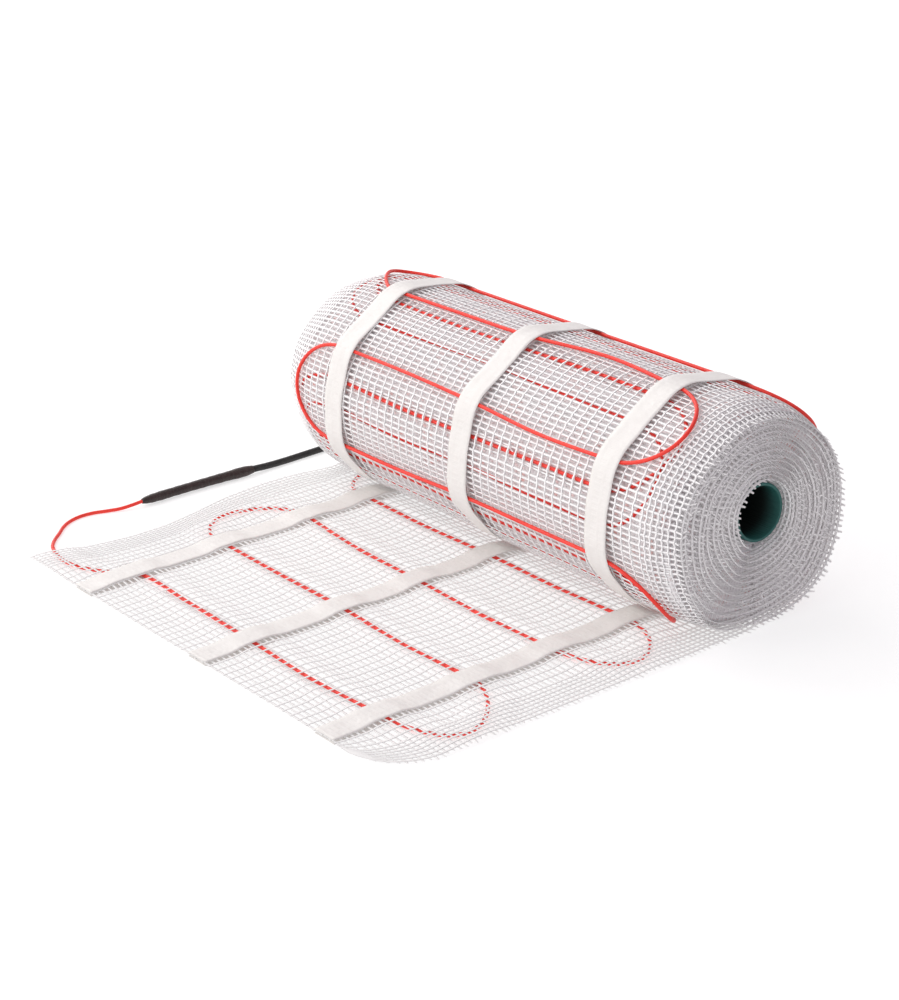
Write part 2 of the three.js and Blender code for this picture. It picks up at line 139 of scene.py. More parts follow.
@dataclass(frozen=True)
class MatForm:
    """Sizes and surfaces of the mat, the same as its solids have.

    The origin is the place of the roll's axis and of the mat's middle in the row frame.
    """

    origin_x: float
    origin_y: float
    clearance: float = 0.3 * MM
    width: float = 500 * MM
    mesh_thickness: float = 1 * MM
    free_length: float = 336 * MM
    corner_radius: float = 45 * MM
    winding_radius: float = 89.8 * MM
    turns: int = 13
    settle: float = 10.8 * MM
    settle_sharpness: float = 6
    shoulder_dent: float = 3 * MM
    shoulder_angle: float = 216 * DEGREE
    shoulder_spread: float = 26 * DEGREE
    left_taper: float = 0.12
    left_taper_length: float = 60 * MM
    right_taper: float = 0.05
    right_taper_length: float = 25 * MM
    core_outer_radius: float = 22.5 * MM
    core_shift: float = 4.3 * MM
    core_rise: float = 6.2 * MM
    cable_diameter: float = 3 * MM
    tape_thickness: float = 0.4 * MM
    tape_width: float = 24 * MM
    tape_places: tuple[float, float, float] = (-163 * MM, 6.5 * MM, 173 * MM)
    tape_end_angle: float = 328 * DEGREE
    crest_plateau: float = 8 * MM
    crest_reach: float = 26 * MM
    tent_plateau: float = 2 * MM
    tent_reach: float = 30 * MM
    drop_start: float = 326 * DEGREE
    drop_span: float = 54 * DEGREE
    margin_reach: float = 42 * MM
    margin_flop: float = 4.6 * MM
    left_edge_wave: tuple[tuple[float, float], ...] = (
        (-336, 0), (-295, 12), (-255, 20), (-222, 20), (-188, 13),
        (-155, 4), (-115, 0), (-85, 1), (-48, 9), (6, 0),
    )

    @property
    def half(self) -> float:
        """Half of the mat's width."""
        return self.width / 2

    @property
    def bore_radius(self) -> float:
        """Radius of the winding's bore."""
        return self.core_outer_radius + self.clearance

    @property
    def turn_pitch(self) -> float:
        """Thickness of one turn of the winding."""
        return (self.winding_radius - self.bore_radius) / self.turns

    @property
    def rest_height(self) -> float:
        """Height of the mesh's underside between the cables of the free end."""
        return self.tape_thickness + self.clearance

    @property
    def crest_height(self) -> float:
        """Height of the mesh's underside over a cable of the free end."""
        return self.rest_height + self.cable_diameter + self.clearance

    @property
    def axis_height(self) -> float:
        """Height of the roll's axis."""
        return self.crest_height + self.winding_radius - self.settle

    def taper_at(self, x: Array) -> Array:
        """How much the winding narrows at x, as a share of its radius."""
        left = np.clip((self.left_taper_length - self.half - x) / self.left_taper_length, 0, 1)
        right = np.clip((x + self.right_taper_length - self.half) / self.right_taper_length, 0, 1)
        return self.left_taper * left**1.5 + self.right_taper * right**1.5

    def roll_point(self, x: Array, radius: Array, angle: Array) -> Array:
        """Place of a point of the wound roll.

        Args:
            x: Place across the mat.
            radius: Distance from the axis before the roll settled.
            angle: Angle round the axis, 0 straight down and a quarter turn at the back.

        Returns:
            Points in the row frame, along the last axis.
        """
        x, radius, angle = np.broadcast_arrays(x, radius, angle)
        outward = np.clip((radius - self.bore_radius) / (self.winding_radius - self.bore_radius), 0, 1)
        turn = np.mod(angle, 2 * np.pi)
        down = np.maximum(0, np.cos(turn))
        dent = self.shoulder_dent * np.exp(-(((turn - self.shoulder_angle) / self.shoulder_spread) ** 2))
        narrowing = self.winding_radius * self.taper_at(x) * (1 - down * down)
        reach = radius - (dent + narrowing) * outward
        flattening = self.settle * outward * down**self.settle_sharpness
        y = reach * np.sin(turn) + self.core_shift * (1 - outward)
        z = self.axis_height - reach * np.cos(turn) + self.core_rise * (1 - outward) + flattening
        return np.stack([x + self.origin_x, y + self.origin_y, z], axis=-1)

    def turn_drop(self, angle: Array) -> Array:
        """How many turns deep the mat lies at a total angle; it steps inwards under the roll."""
        depth = np.zeros_like(np.asarray(angle, float))
        for turn in range(self.turns):
            depth = depth + smooth((angle - self.drop_start - 2 * np.pi * turn) / self.drop_span)
        return depth

    def wound(self, x: Array, angle: Array, out: Array) -> Array:
        """Place of a point on the winding at a total angle, counted on through the turns.

        The margins past the outer bends carry no cable, so they lean inwards towards their cut edge.

        Args:
            x: Place across the mat.
            angle: Total angle along the winding, over a full turn for the inner turns.
            out: Distance outside the mesh's cable side.

        Returns:
            Points in the row frame.
        """
        x, angle, out = np.broadcast_arrays(np.asarray(x, float), angle, out)
        depth = self.turn_drop(angle)
        radius = self.winding_radius - self.turn_pitch * depth
        lean = np.clip((np.abs(x) - self.half + self.margin_reach) / self.margin_reach, 0, 1) ** 1.7
        down = np.maximum(0, np.cos(angle))
        unrest = np.where(x > 0, 0.24, 0.1)
        wave = 1 + unrest * (np.sin(2.3 * angle + 1.9) + 0.7 * np.sin(5.1 * angle + 0.7))
        inner = np.clip((radius - self.bore_radius) / (4 * self.turn_pitch), 0.05, 1)
        flop = self.margin_flop * lean * wave * inner * (1 - down**4)
        return self.roll_point(x, radius + out - flop, angle)

    def on_mat(self, x: Array, s: Array, out: Array) -> Array:
        """Place of a point below the cable side of the free end, or outside the outer turn."""
        x, s, out = np.broadcast_arrays(np.asarray(x, float), s, out)
        flat = np.stack([x + self.origin_x, s + self.origin_y, self.crest_height - out], axis=-1)
        wound = self.roll_point(x, self.winding_radius + out, np.maximum(s, 0) / self.winding_radius)
        return np.where((s <= 0)[..., None], flat, wound)

    def inside_edges(self, x: Array, s: Array) -> Array:
        """Moves x into the waved left edge and the rounded front corner of the free end."""
        left_tape = self.tape_places[0] - self.tape_width / 2
        right_tape = self.tape_places[-1] + self.tape_width / 2
        wave = np.array(self.left_edge_wave) * MM
        left_edge = -self.half + np.interp(s, wave[:, 0], wave[:, 1])
        corner = np.clip(self.corner_radius - self.free_length - s, 0, self.corner_radius)
        right_edge = self.half - self.corner_radius + np.sqrt(self.corner_radius**2 - corner**2)
        left = left_tape + (x - left_tape) * (left_edge - left_tape) / (-self.half - left_tape)
        right = right_tape + (x - right_tape) * (right_edge - right_tape) / (self.half - right_tape)
        return np.where(x < left_tape, left, np.where(x > right_tape, right, x))


@dataclass(frozen=True)
class CableCourse:
    """The serpentine course of the heating cable over the free end and the outer turn.

    All in millimetres, as the drawing of the solids has them.
    """

    form: MatForm
    run_pitch: float = 74
    first_run: float = 48
    run_reach: float = 170
    last_run_end: float = -80
    stations: tuple[float, ...] = (-163, -80, 6.5, 95, 173)
    drift: tuple[tuple[float, ...], ...] = (
        (-1, 0, -2, -5, -1), (8, 7, 7, 3, 6), (15, 7, 5, 2, 4), (1, -1, 1, 0, 3),
        (5, 5, 5, 5, 5), (4, 4, 5, 4, 4), (4, 5, 5, 6, 5), (2, 2, 2, 3, 2),
        (-4, -5, -7, -16, -10), (-11, -11, -9, -5, -7), (-3, -3, -6, -6, -6), (5, 5, 5, 5, 1),
    )
    bends: tuple[tuple[float, float], ...] = (
        (64, 0.3), (43, 0.1), (61, 0.12), (39, 0), (56, 0.1), (42, 0.1),
        (55, 0.1), (49, 0.45), (55, 0), (52, 0), (56, 0.12),
    )
    inner_places: dict[int, tuple[float, ...]] = field(
        default_factory=lambda: {
            1: (14, 86, 158, 232, 308, 395, 464, 540),
            2: (36, 108, 180, 257, 335, 421, 497),
        }
    )
    entry: tuple[tuple[float, float], ...] = (
        (-252, -314), (-244, -316.3), (-233, -318.5), (-220, -319),
        (-206, -316.5), (-193, -311.5), (-180, -304),
    )

    def run_place(self, run: int, x: Array) -> Array:
        """Place along the mat of a run at x, in millimetres."""
        start = self.first_run - self.form.free_length / MM + run * self.run_pitch
        return start + np.interp(x, self.stations, self.drift[run])

    def bend(
        self, start: float, end: float, side: int, bulge: float, lean: float
    ) -> list[tuple[float, float]]:
        """Points of the bend that joins two runs, without its ends.

        Args:
            start: Place along the mat of the run that it leaves.
            end: Place along the mat of the run that it joins.
            side: 1 at the right edge and -1 at the left.
            bulge: How far the bend goes past the runs.
            lean: How much fuller it is on the side that it comes from.

        Returns:
            Pairs of x and s.
        """
        made = []
        for degrees in range(18, 180, 18):
            t = degrees * DEGREE
            swing = math.sin(t) * (1 + lean * math.cos(t))
            along = (start + end) / 2 - (end - start) / 2 * math.cos(t)
            made.append((side * (self.run_reach + bulge * swing), along))
        return made

    def points(self) -> list[tuple[float, float]]:
        """Pairs of x and s that the cable passes, in millimetres."""
        made = list(self.entry)
        last = len(self.drift) - 1
        for run in range(last + 1):
            rightward = run % 2 == 0
            across = [*self.stations, self.run_reach]
            if run > 0:
                across.insert(0, -self.run_reach)
            if run == last:
                across = [x for x in across if x >= self.last_run_end]
            across = sorted(across, reverse=not rightward)
            made += [(x, float(self.run_place(run, x))) for x in across]
            if run < last:
                side = 1 if rightward else -1
                start = float(self.run_place(run, side * self.run_reach))
                end = float(self.run_place(run + 1, side * self.run_reach))
                made += self.bend(start, end, side, *self.bends[run])
        return made

    def line(self, step: float) -> Array:
        """The course as even samples of x and s, in metres."""
        return spline(np.array(self.points()), step / MM) * MM

    def inner_runs(self, turn: int, x: Array) -> Array:
        """Places at x of the runs of an inner turn, one after another; none from the fourth turn on."""
        places = self.inner_places.get(turn, ())
        wander = np.random.default_rng(20 + turn).uniform(-3, 3, (len(places), len(self.stations)))
        made = [place + np.interp(x, self.stations, w) for place, w in zip(places, wander)]
        return np.array(made).reshape(len(places), *np.shape(x))

    def inner_line(self, turn: int, step: float) -> Array:
        """Course of the cable over an inner turn.

        Args:
            turn: Number of the turn, 1 for the one under the outer turn.
            step: Distance between the samples, in metres.

        Returns:
            Even samples of x and s, in metres.
        """
        rng = np.random.default_rng(20 + turn)
        stations = np.array(self.stations)
        made = []
        for run, places in enumerate(self.inner_runs(turn, stations)):
            rightward = run % 2 == 0
            line = list(zip(stations, places))
            line = line if rightward else line[::-1]
            if run > 0:
                side = -1 if rightward else 1
                made += self.bend(made[-1][1], line[0][1], side, float(rng.uniform(42, 58)), 0.1)
            made += line
        return spline(np.array(made), step / MM) * MM


@dataclass(frozen=True)
class MeshHeight:
    """Height of the free end's mesh over the floor and the cable."""

    form: MatForm
    line: Array
    stiffness: float = 0.35
    lift_reach: float = 14 * MM

    def distance(self, x: Array, s: Array) -> Array:
        """Distance from points of the free end to the cable's line."""
        near = self.line[self.line[:, 1] < self.form.crest_reach][::2]
        start, way = near[:-1], np.diff(near, axis=0)
        flat = np.column_stack([np.ravel(x), np.ravel(s)])
        best = np.full(len(flat), np.inf)
        for low in range(0, len(flat), 4096):
            part = flat[low : low + 4096, None, :]
            t = np.clip(((part - start) * way).sum(-1) / (way**2).sum(-1), 0, 1)[..., None]
            best[low : low + 4096] = np.linalg.norm(part - start - t * way, axis=-1).min(axis=1)
        return best.reshape(np.shape(x))

    def at(self, x: Array, s: Array) -> Array:
        """Height of the mesh's underside; a tape keeps it level across its width."""
        form = self.form
        x, s = np.broadcast_arrays(np.asarray(x, float), s)
        nearest = self.distance(x, s)
        for tape in form.tape_places:
            under = np.abs(x - tape) <= form.tape_width / 2
            if under.any():
                lines = (tape - form.tape_width / 2, tape, tape + form.tape_width / 2)
                ends = [self.distance(np.full(under.sum(), line), s[under]) for line in lines]
                nearest[under] = np.min(ends, axis=0)
        sagged = form.rest_height + self.stiffness * (form.crest_height - form.rest_height)
        rise = crest(nearest, form.crest_plateau, form.crest_reach)
        height = sagged + (form.crest_height - sagged) * rise
        lift = smooth((s + self.lift_reach) / self.lift_reach)
        return height + (form.crest_height - height) * lift


# Meshes


def new_object(
    name: str, mesh: bpy.types.Mesh, finish: bpy.types.Material | None = None
) -> bpy.types.Object:
    """Links an object for a mesh and gives it a finish and smooth faces.

    Args:
        name: Name of the piece.
        mesh: Its mesh, in the row frame.
        finish: Its material, unless the mesh has its own.

    Returns:
        The object, at the origin.
    """
    piece = bpy.data.objects.new(name, mesh)
    bpy.context.scene.collection.objects.link(piece)
    if finish is not None:
        mesh.materials.clear()
        mesh.materials.append(finish)
    mesh.polygons.foreach_set("use_smooth", np.ones(len(mesh.polygons), bool))
    return piece


def mesh_of(
    name: str, points: Array, faces: Sequence[Sequence[int]], uv: Array | None = None
) -> bpy.types.Mesh:
    """Makes a closed mesh with its faces pointing outwards.

    Args:
        name: Name of the mesh.
        points: Its vertices.
        faces: Its faces, as indices of vertices.
        uv: A place on the mat for each vertex, in metres.

    Returns:
        The mesh.
    """
    mesh = bpy.data.meshes.new(name)
    mesh.from_pydata(np.asarray(points).tolist(), [], [list(f) for f in faces])
    if uv is not None:
        layer = mesh.uv_layers.new(name="mat_place")
        corners = np.empty(len(mesh.loops), np.int32)
        mesh.loops.foreach_get("vertex_index", corners)
        layer.data.foreach_set("uv", np.asarray(uv, np.float32)[corners].ravel())
    edit = bmesh.new()
    edit.from_mesh(mesh)
    bmesh.ops.recalc_face_normals(edit, faces=edit.faces)
    edit.to_mesh(mesh)
    edit.free()
    return mesh


def turned_faces(rows: int, segments: int) -> list[list[int]]:
    """Faces of a turned ring whose closed profile has rows points."""
    index = np.arange(rows * segments).reshape(rows, segments)
    after, beside = np.roll(index, -1, axis=0), np.roll(index, -1, axis=1)
    return np.stack([index, after, np.roll(after, -1, axis=1), beside], -1).reshape(-1, 4).tolist()


def slab(name: str, outer: Array, inner: Array, uv: Array) -> bpy.types.Mesh:
    """Closed thin slab between two grids of points.

    Args:
        name: Name of the mesh.
        outer: Grid of the outer face, rows along the strip.
        inner: Grid of the inner face, of the same shape.
        uv: Place on the mat of each point of the grid.

    Returns:
        The mesh.
    """
    rows, columns = outer.shape[:2]
    size = rows * columns
    index = np.arange(size).reshape(rows, columns)
    a, b, c, d = index[:-1, :-1], index[1:, :-1], index[1:, 1:], index[:-1, 1:]
    top = np.stack([a, b, c, d], -1).reshape(-1, 4)
    faces = [*top.tolist(), *(top[:, ::-1] + size).tolist()]
    border = [*index[0, :], *index[1:, -1], *index[-1, -2::-1], *index[-2:0:-1, 0]]
    for i, here in enumerate(border):
        there = border[(i + 1) % len(border)]
        faces.append([int(here), int(there), int(there) + size, int(here) + size])
    points = np.concatenate([outer.reshape(-1, 3), inner.reshape(-1, 3)])
    places = np.concatenate([uv.reshape(-1, 2)] * 2)
    return mesh_of(name, points, faces, places)


def tube(name: str, path: Array, radius: Array | float, sides: int) -> bpy.types.Mesh:
    """Closed round tube along a path, with domed ends.

    Args:
        name: Name of the mesh.
        path: Points of its axis.
        radius: Its radius, or one for each point.
        sides: Number of facets round it.

    Returns:
        The mesh, with a place along and round it for each vertex.
    """
    path = np.asarray(path, float)
    radius = np.broadcast_to(np.asarray(radius, float), len(path))
    way = np.gradient(path, axis=0)
    way /= np.linalg.norm(way, axis=1, keepdims=True)
    normal = np.cross(way[0], [0.0, 0.0, 1.0])
    if np.linalg.norm(normal) < 0.1:
        normal = np.cross(way[0], [0.0, 1.0, 0.0])
    normals = []
    for direction in way:
        normal = normal - direction * np.dot(normal, direction)
        normal = normal / np.linalg.norm(normal)
        normals.append(normal)
    across = np.array(normals)
    up = np.cross(way, across)
    turn = np.arange(sides) * 2 * np.pi / sides
    ring = across[:, None] * np.cos(turn)[:, None] + up[:, None] * np.sin(turn)[:, None]
    points = (path[:, None] + ring * radius[:, None, None]).reshape(-1, 3)
    run = np.concatenate([[0], np.cumsum(np.linalg.norm(np.diff(path, axis=0), axis=1))])
    uv = np.stack(np.broadcast_arrays(run[:, None], radius[:, None] * turn[None]), -1).reshape(-1, 2)
    index = np.arange(len(points)).reshape(-1, sides)
    after = np.roll(index, -1, axis=1)
    walls = np.stack([index[:-1], after[:-1], after[1:], index[1:]], -1).reshape(-1, 4).tolist()
    tips = [path[0] - way[0] * radius[0] * 0.25, path[-1] + way[-1] * radius[-1] * 0.25]
    first, last = len(points), len(points) + 1
    walls += [[first, int(b), int(a)] for a, b in zip(index[0], after[0])]
    walls += [[last, int(a), int(b)] for a, b in zip(index[-1], after[-1])]
    uv = np.concatenate([uv, [[run[0], 0], [run[-1], 0]]])
    return mesh_of(name, np.concatenate([points, tips]), walls, uv)


def joined(name: str, meshes: Sequence[bpy.types.Mesh]) -> bpy.types.Mesh:
    """One mesh out of several, which are removed."""
    edit = bmesh.new()
    for mesh in meshes:
        edit.from_mesh(mesh)
        bpy.data.meshes.remove(mesh)
    made = bpy.data.meshes.new(name)
    edit.to_mesh(made)
    edit.free()
    return made


@dataclass
class GeometryTree:
    """A geometry node tree with named inputs, which ends in real geometry of one finish."""

    name: str
    tree: bpy.types.NodeTree = field(init=False)
    entry: bpy.types.Node = field(init=False)

    def __post_init__(self) -> None:
        """Makes the empty tree with its geometry sockets."""
        self.tree = bpy.data.node_groups.new(self.name, "GeometryNodeTree")
        self.tree.interface.new_socket("Geometry", in_out="INPUT", socket_type="NodeSocketGeometry")
        self.tree.interface.new_socket("Geometry", in_out="OUTPUT", socket_type="NodeSocketGeometry")
        self.entry = self.node("NodeGroupInput")

    def named_input(self, name: str, kind: str, value: float | int | None = None) -> None:
        """Adds a named input with its starting value."""
        socket = self.tree.interface.new_socket(name, in_out="INPUT", socket_type=kind)
        if value is not None:
            socket.default_value = value

    def node(self, kind: str, **settings: object) -> bpy.types.Node:
        """Adds a node and sets its properties."""
        made = self.tree.nodes.new(kind)
        for key, value in settings.items():
            setattr(made, key, value)
        return made

    def link(self, source: bpy.types.NodeSocket, target: bpy.types.NodeSocket) -> None:
        """Joins two sockets."""
        self.tree.links.new(source, target)

    def attribute(self, name: str, kind: str) -> bpy.types.NodeSocket:
        """Output of a node that reads a named attribute."""
        made = self.node("GeometryNodeInputNamedAttribute", data_type=kind)
        made.inputs["Name"].default_value = name
        return made.outputs["Attribute"]

    def finish(self, geometry: bpy.types.NodeSocket) -> None:
        """Ends the tree in real geometry with the finish from the input Finish."""
        real = self.node("GeometryNodeRealizeInstances")
        dressed = self.node("GeometryNodeSetMaterial")
        self.link(geometry, real.inputs["Geometry"])
        self.link(real.outputs["Geometry"], dressed.inputs["Geometry"])
        self.link(self.entry.outputs["Finish"], dressed.inputs["Material"])
        self.link(dressed.outputs["Geometry"], self.node("NodeGroupOutput").inputs["Geometry"])

    def grow(self, name: str, guides: bpy.types.Mesh, values: dict[str, object]) -> bpy.types.Object:
        """Runs the tree on a guide mesh and keeps its result as a plain mesh.

        Args:
            name: Name of the piece.
            guides: The mesh that the tree starts from.
            values: Values of the named inputs.

        Returns:
            The piece, without a modifier.
        """
        piece = bpy.data.objects.new(name, guides)
        bpy.context.scene.collection.objects.link(piece)
        modifier = piece.modifiers.new("grow", "NODES")
        modifier.node_group = self.tree
        for item in self.tree.interface.items_tree:
            if item.item_type == "SOCKET" and item.in_out == "INPUT" and item.name in values:
                modifier[item.identifier] = values[item.name]
        graph = bpy.context.evaluated_depsgraph_get()
        made = bpy.data.meshes.new_from_object(piece.evaluated_get(graph))
        piece.modifiers.clear()
        piece.data = made
        made.name = name
        made.polygons.foreach_set("use_smooth", np.zeros(len(made.polygons), bool))
        bpy.data.meshes.remove(guides)
        return piece


def yarn_tree() -> GeometryTree:
    """Tree that turns guide lines into flat yarns, which face along the attribute facing.

    Returns:
        The tree, with inputs Width, Thickness and Finish.
    """
    made = GeometryTree("yarns_along_guides")
    made.named_input("Width", "NodeSocketFloat", 1.2 * MM)
    made.named_input("Thickness", "NodeSocketFloat", 0.6 * MM)
    made.named_input("Finish", "NodeSocketMaterial")
    lines = made.node("GeometryNodeMeshToCurve")
    facing = made.node("GeometryNodeSetCurveNormal", mode="FREE")
    made.link(made.entry.outputs["Geometry"], lines.inputs["Mesh"])
    made.link(lines.outputs["Curve"], facing.inputs["Curve"])
    made.link(made.attribute("facing", "FLOAT_VECTOR"), facing.inputs["Normal"])
    section = made.node("GeometryNodeCurvePrimitiveCircle", mode="RADIUS")
    section.inputs["Resolution"].default_value = 4
    section.inputs["Radius"].default_value = 0.5
    size = made.node("ShaderNodeCombineXYZ")
    made.link(made.entry.outputs["Thickness"], size.inputs["X"])
    made.link(made.entry.outputs["Width"], size.inputs["Y"])
    size.inputs["Z"].default_value = 1
    flat = made.node("GeometryNodeTransform")
    made.link(section.outputs["Curve"], flat.inputs["Geometry"])
    made.link(size.outputs["Vector"], flat.inputs["Scale"])
    swept = made.node("GeometryNodeCurveToMesh")
    swept.inputs["Fill Caps"].default_value = True
    made.link(facing.outputs["Curve"], swept.inputs["Curve"])
    made.link(flat.outputs["Geometry"], swept.inputs["Profile Curve"])
    made.link(made.attribute("girth", "FLOAT"), swept.inputs["Scale"])
    made.finish(swept.outputs["Mesh"])
    return made


@dataclass
class YarnGuides:
    """Guide lines of yarns, with the way that they face and their girth."""

    points: list[Array] = field(default_factory=list)
    facings: list[Array] = field(default_factory=list)
    girths: list[Array] = field(default_factory=list)
    lengths: list[int] = field(default_factory=list)

    def add(self, surface: Surface, x: Array, s: Array, out: Array, girth: Array | float = 1.0) -> None:
        """Lays lines on a surface.

        Args:
            surface: Gives points for x, s and out.
            x: Places across the mat, one row for each line.
            s: Places along it.
            out: Distances outside the surface.
            girth: Share of the yarn's full width.
        """
        x, s, out, girth = (np.array(v, float) for v in np.broadcast_arrays(x, s, out, girth))
        here = surface(x, s, out)
        facing = surface(x, s, out + 1 * MM) - here
        facing /= np.linalg.norm(facing, axis=-1, keepdims=True)
        self.points.append(here.reshape(-1, 3))
        self.facings.append(facing.reshape(-1, 3))
        self.girths.append(girth.ravel())
        self.lengths += [x.shape[1]] * x.shape[0]

    def mesh(self, name: str) -> bpy.types.Mesh:
        """The lines as a mesh of edges with the attributes facing and girth."""
        points = np.concatenate(self.points)
        lengths = np.array(self.lengths)
        last = np.cumsum(lengths) - 1
        starts = np.setdiff1d(np.arange(len(points)), last)
        mesh = bpy.data.meshes.new(name)
        mesh.vertices.add(len(points))
        mesh.vertices.foreach_set("co", points.astype(np.float32).ravel())
        mesh.edges.add(len(starts))
        pairs = np.column_stack([starts, starts + 1])
        mesh.edges.foreach_set("vertices", pairs.astype(np.int32).ravel())
        facing = mesh.attributes.new("facing", "FLOAT_VECTOR", "POINT")
        facing.data.foreach_set("vector", np.concatenate(self.facings).astype(np.float32).ravel())
        girth = mesh.attributes.new("girth", "FLOAT", "POINT")
        girth.data.foreach_set("value", np.concatenate(self.girths).astype(np.float32))
        mesh.update()
        return mesh


# Finishes


@dataclass
class NodeSketch:
    """Short calls for building a shader node tree."""

    tree: bpy.types.NodeTree

    def node(
        self, kind: str, inputs: dict[str | int, object] | None = None, **settings: object
    ) -> bpy.types.Node:
        """Adds a node.

        Args:
            kind: Its type.
            inputs: Values or output sockets for its inputs.
            settings: Its properties.

        Returns:
            The node.
        """
        made = self.tree.nodes.new(kind)
        for key, value in settings.items():
            setattr(made, key, value)
        for key, value in (inputs or {}).items():
            self.feed(value, made.inputs[key])
        return made

    def feed(self, value: object, socket: bpy.types.NodeSocket) -> None:
        """Links an output socket to an input, or sets the input to a plain value."""
        if isinstance(value, bpy.types.NodeSocket):
            self.tree.links.new(value, socket)
        else:
            socket.default_value = value

    def math(self, operation: str, *values: object) -> bpy.types.NodeSocket:
        """Output of a math node on the values."""
        return self.node("ShaderNodeMath", dict(enumerate(values)), operation=operation).outputs[0]

    def group(self, tree: bpy.types.NodeTree, output: str, **inputs: object) -> bpy.types.NodeSocket:
        """Output of a node group; an input's underscores stand for spaces."""
        made = self.node("ShaderNodeGroup", node_tree=tree)
        for key, value in inputs.items():
            self.feed(value, made.inputs[key.replace("_", " ")])
        return made.outputs[output]

    def mix(self, share: object, first: object, second: object) -> bpy.types.NodeSocket:
        """Colour between two colours."""
        made = self.node("ShaderNodeMix", data_type="RGBA")
        for index, value in ((0, share), (6, first), (7, second)):
            self.feed((*value, 1.0) if isinstance(value, tuple) else value, made.inputs[index])
        return made.outputs[2]


def shader_group(
    name: str, inputs: dict[str, object], output: str
) -> tuple[NodeSketch, bpy.types.Node, bpy.types.Node]:
    """Starts a shader node group.

    Args:
        name: Its name.
        inputs: Named inputs with their values; None stands for a vector.
        output: Name of its one output.

    Returns:
        The sketch of its tree, its input node and its output node.
    """
    tree = bpy.data.node_groups.new(name, "ShaderNodeTree")
    for key, value in inputs.items():
        kind = "NodeSocketVector" if value is None else "NodeSocketFloat"
        socket = tree.interface.new_socket(key, in_out="INPUT", socket_type=kind)
        if value is not None:
            socket.default_value = value
    tree.interface.new_socket(output, in_out="OUTPUT", socket_type="NodeSocketFloat")
    return NodeSketch(tree), tree.nodes.new("NodeGroupInput"), tree.nodes.new("NodeGroupOutput")


class EffectLibrary:
    """Shader node groups that several finishes share."""

    def __init__(self) -> None:
        """Builds every group once."""
        self.mottle = self._mottle()
        self.net_lines = self._net_lines()
        self.rings = self._rings()

    def _mottle(self) -> bpy.types.NodeTree:
        """Soft irregular value between Low and High."""
        sketch, start, end = shader_group(
            "mottle", {"Vector": None, "Scale": 40.0, "Detail": 3.0, "Low": 0.0, "High": 1.0}, "Value"
        )
        noise = sketch.node(
            "ShaderNodeTexNoise", {key: start.outputs[key] for key in ("Vector", "Scale", "Detail")}
        )
        spread = sketch.node(
            "ShaderNodeMapRange",
            {
                "Value": noise.outputs["Fac"], "From Min": 0.3, "From Max": 0.7,
                "To Min": start.outputs["Low"], "To Max": start.outputs["High"],
            },
        )
        sketch.feed(spread.outputs["Result"], end.inputs["Value"])
        return sketch.tree

    def _net_lines(self) -> bpy.types.NodeTree:
        """1 on the lines of a net and 0 in its cells, from a place on the mat in metres."""
        sketch, start, end = shader_group(
            "net_lines",
            {
                "Vector": None, "Warp Pitch": WARP_PITCH, "Weft Pitch": WEFT_PITCH,
                "Warp Share": 0.22, "Weft Share": 0.3,
            },
            "Mask",
        )
        split = sketch.node("ShaderNodeSeparateXYZ", {"Vector": start.outputs["Vector"]})
        masks = []
        for axis, pitch, share in (("X", "Warp Pitch", "Warp Share"), ("Y", "Weft Pitch", "Weft Share")):
            cells = sketch.math("DIVIDE", split.outputs[axis], start.outputs[pitch])
            distance = sketch.math("PINGPONG", cells, 0.5)
            half = sketch.math("MULTIPLY", start.outputs[share], 0.5)
            wide = sketch.math("MULTIPLY", half, 1.6)
            mask = sketch.node("ShaderNodeMapRange", {"Value": distance, "From Min": wide, "From Max": half})
            masks.append(mask.outputs["Result"])
        sketch.feed(sketch.math("MAXIMUM", *masks), end.inputs["Mask"])
        return sketch.tree

    def _rings(self) -> bpy.types.NodeTree:
        """Fine uneven lines that repeat along X of the vector, in metres."""
        inputs = {"Vector": None, "Pitch": 1 * MM, "Unevenness": 0.4}
        sketch, start, end = shader_group("rings", inputs, "Height")
        vector = start.outputs["Vector"]
        noise = sketch.node("ShaderNodeTexNoise", {"Vector": vector, "Scale": 260.0, "Detail": 2.0})
        shift = sketch.math("MULTIPLY", noise.outputs["Fac"], start.outputs["Unevenness"])
        split = sketch.node("ShaderNodeSeparateXYZ", {"Vector": vector})
        place = sketch.math("ADD", sketch.math("DIVIDE", split.outputs["X"], start.outputs["Pitch"]), shift)
        wave = sketch.math("SINE", sketch.math("MULTIPLY", place, 2 * math.pi))
        sketch.feed(sketch.math("MULTIPLY_ADD", wave, 0.5, 0.5), end.inputs["Height"])
        return sketch.tree


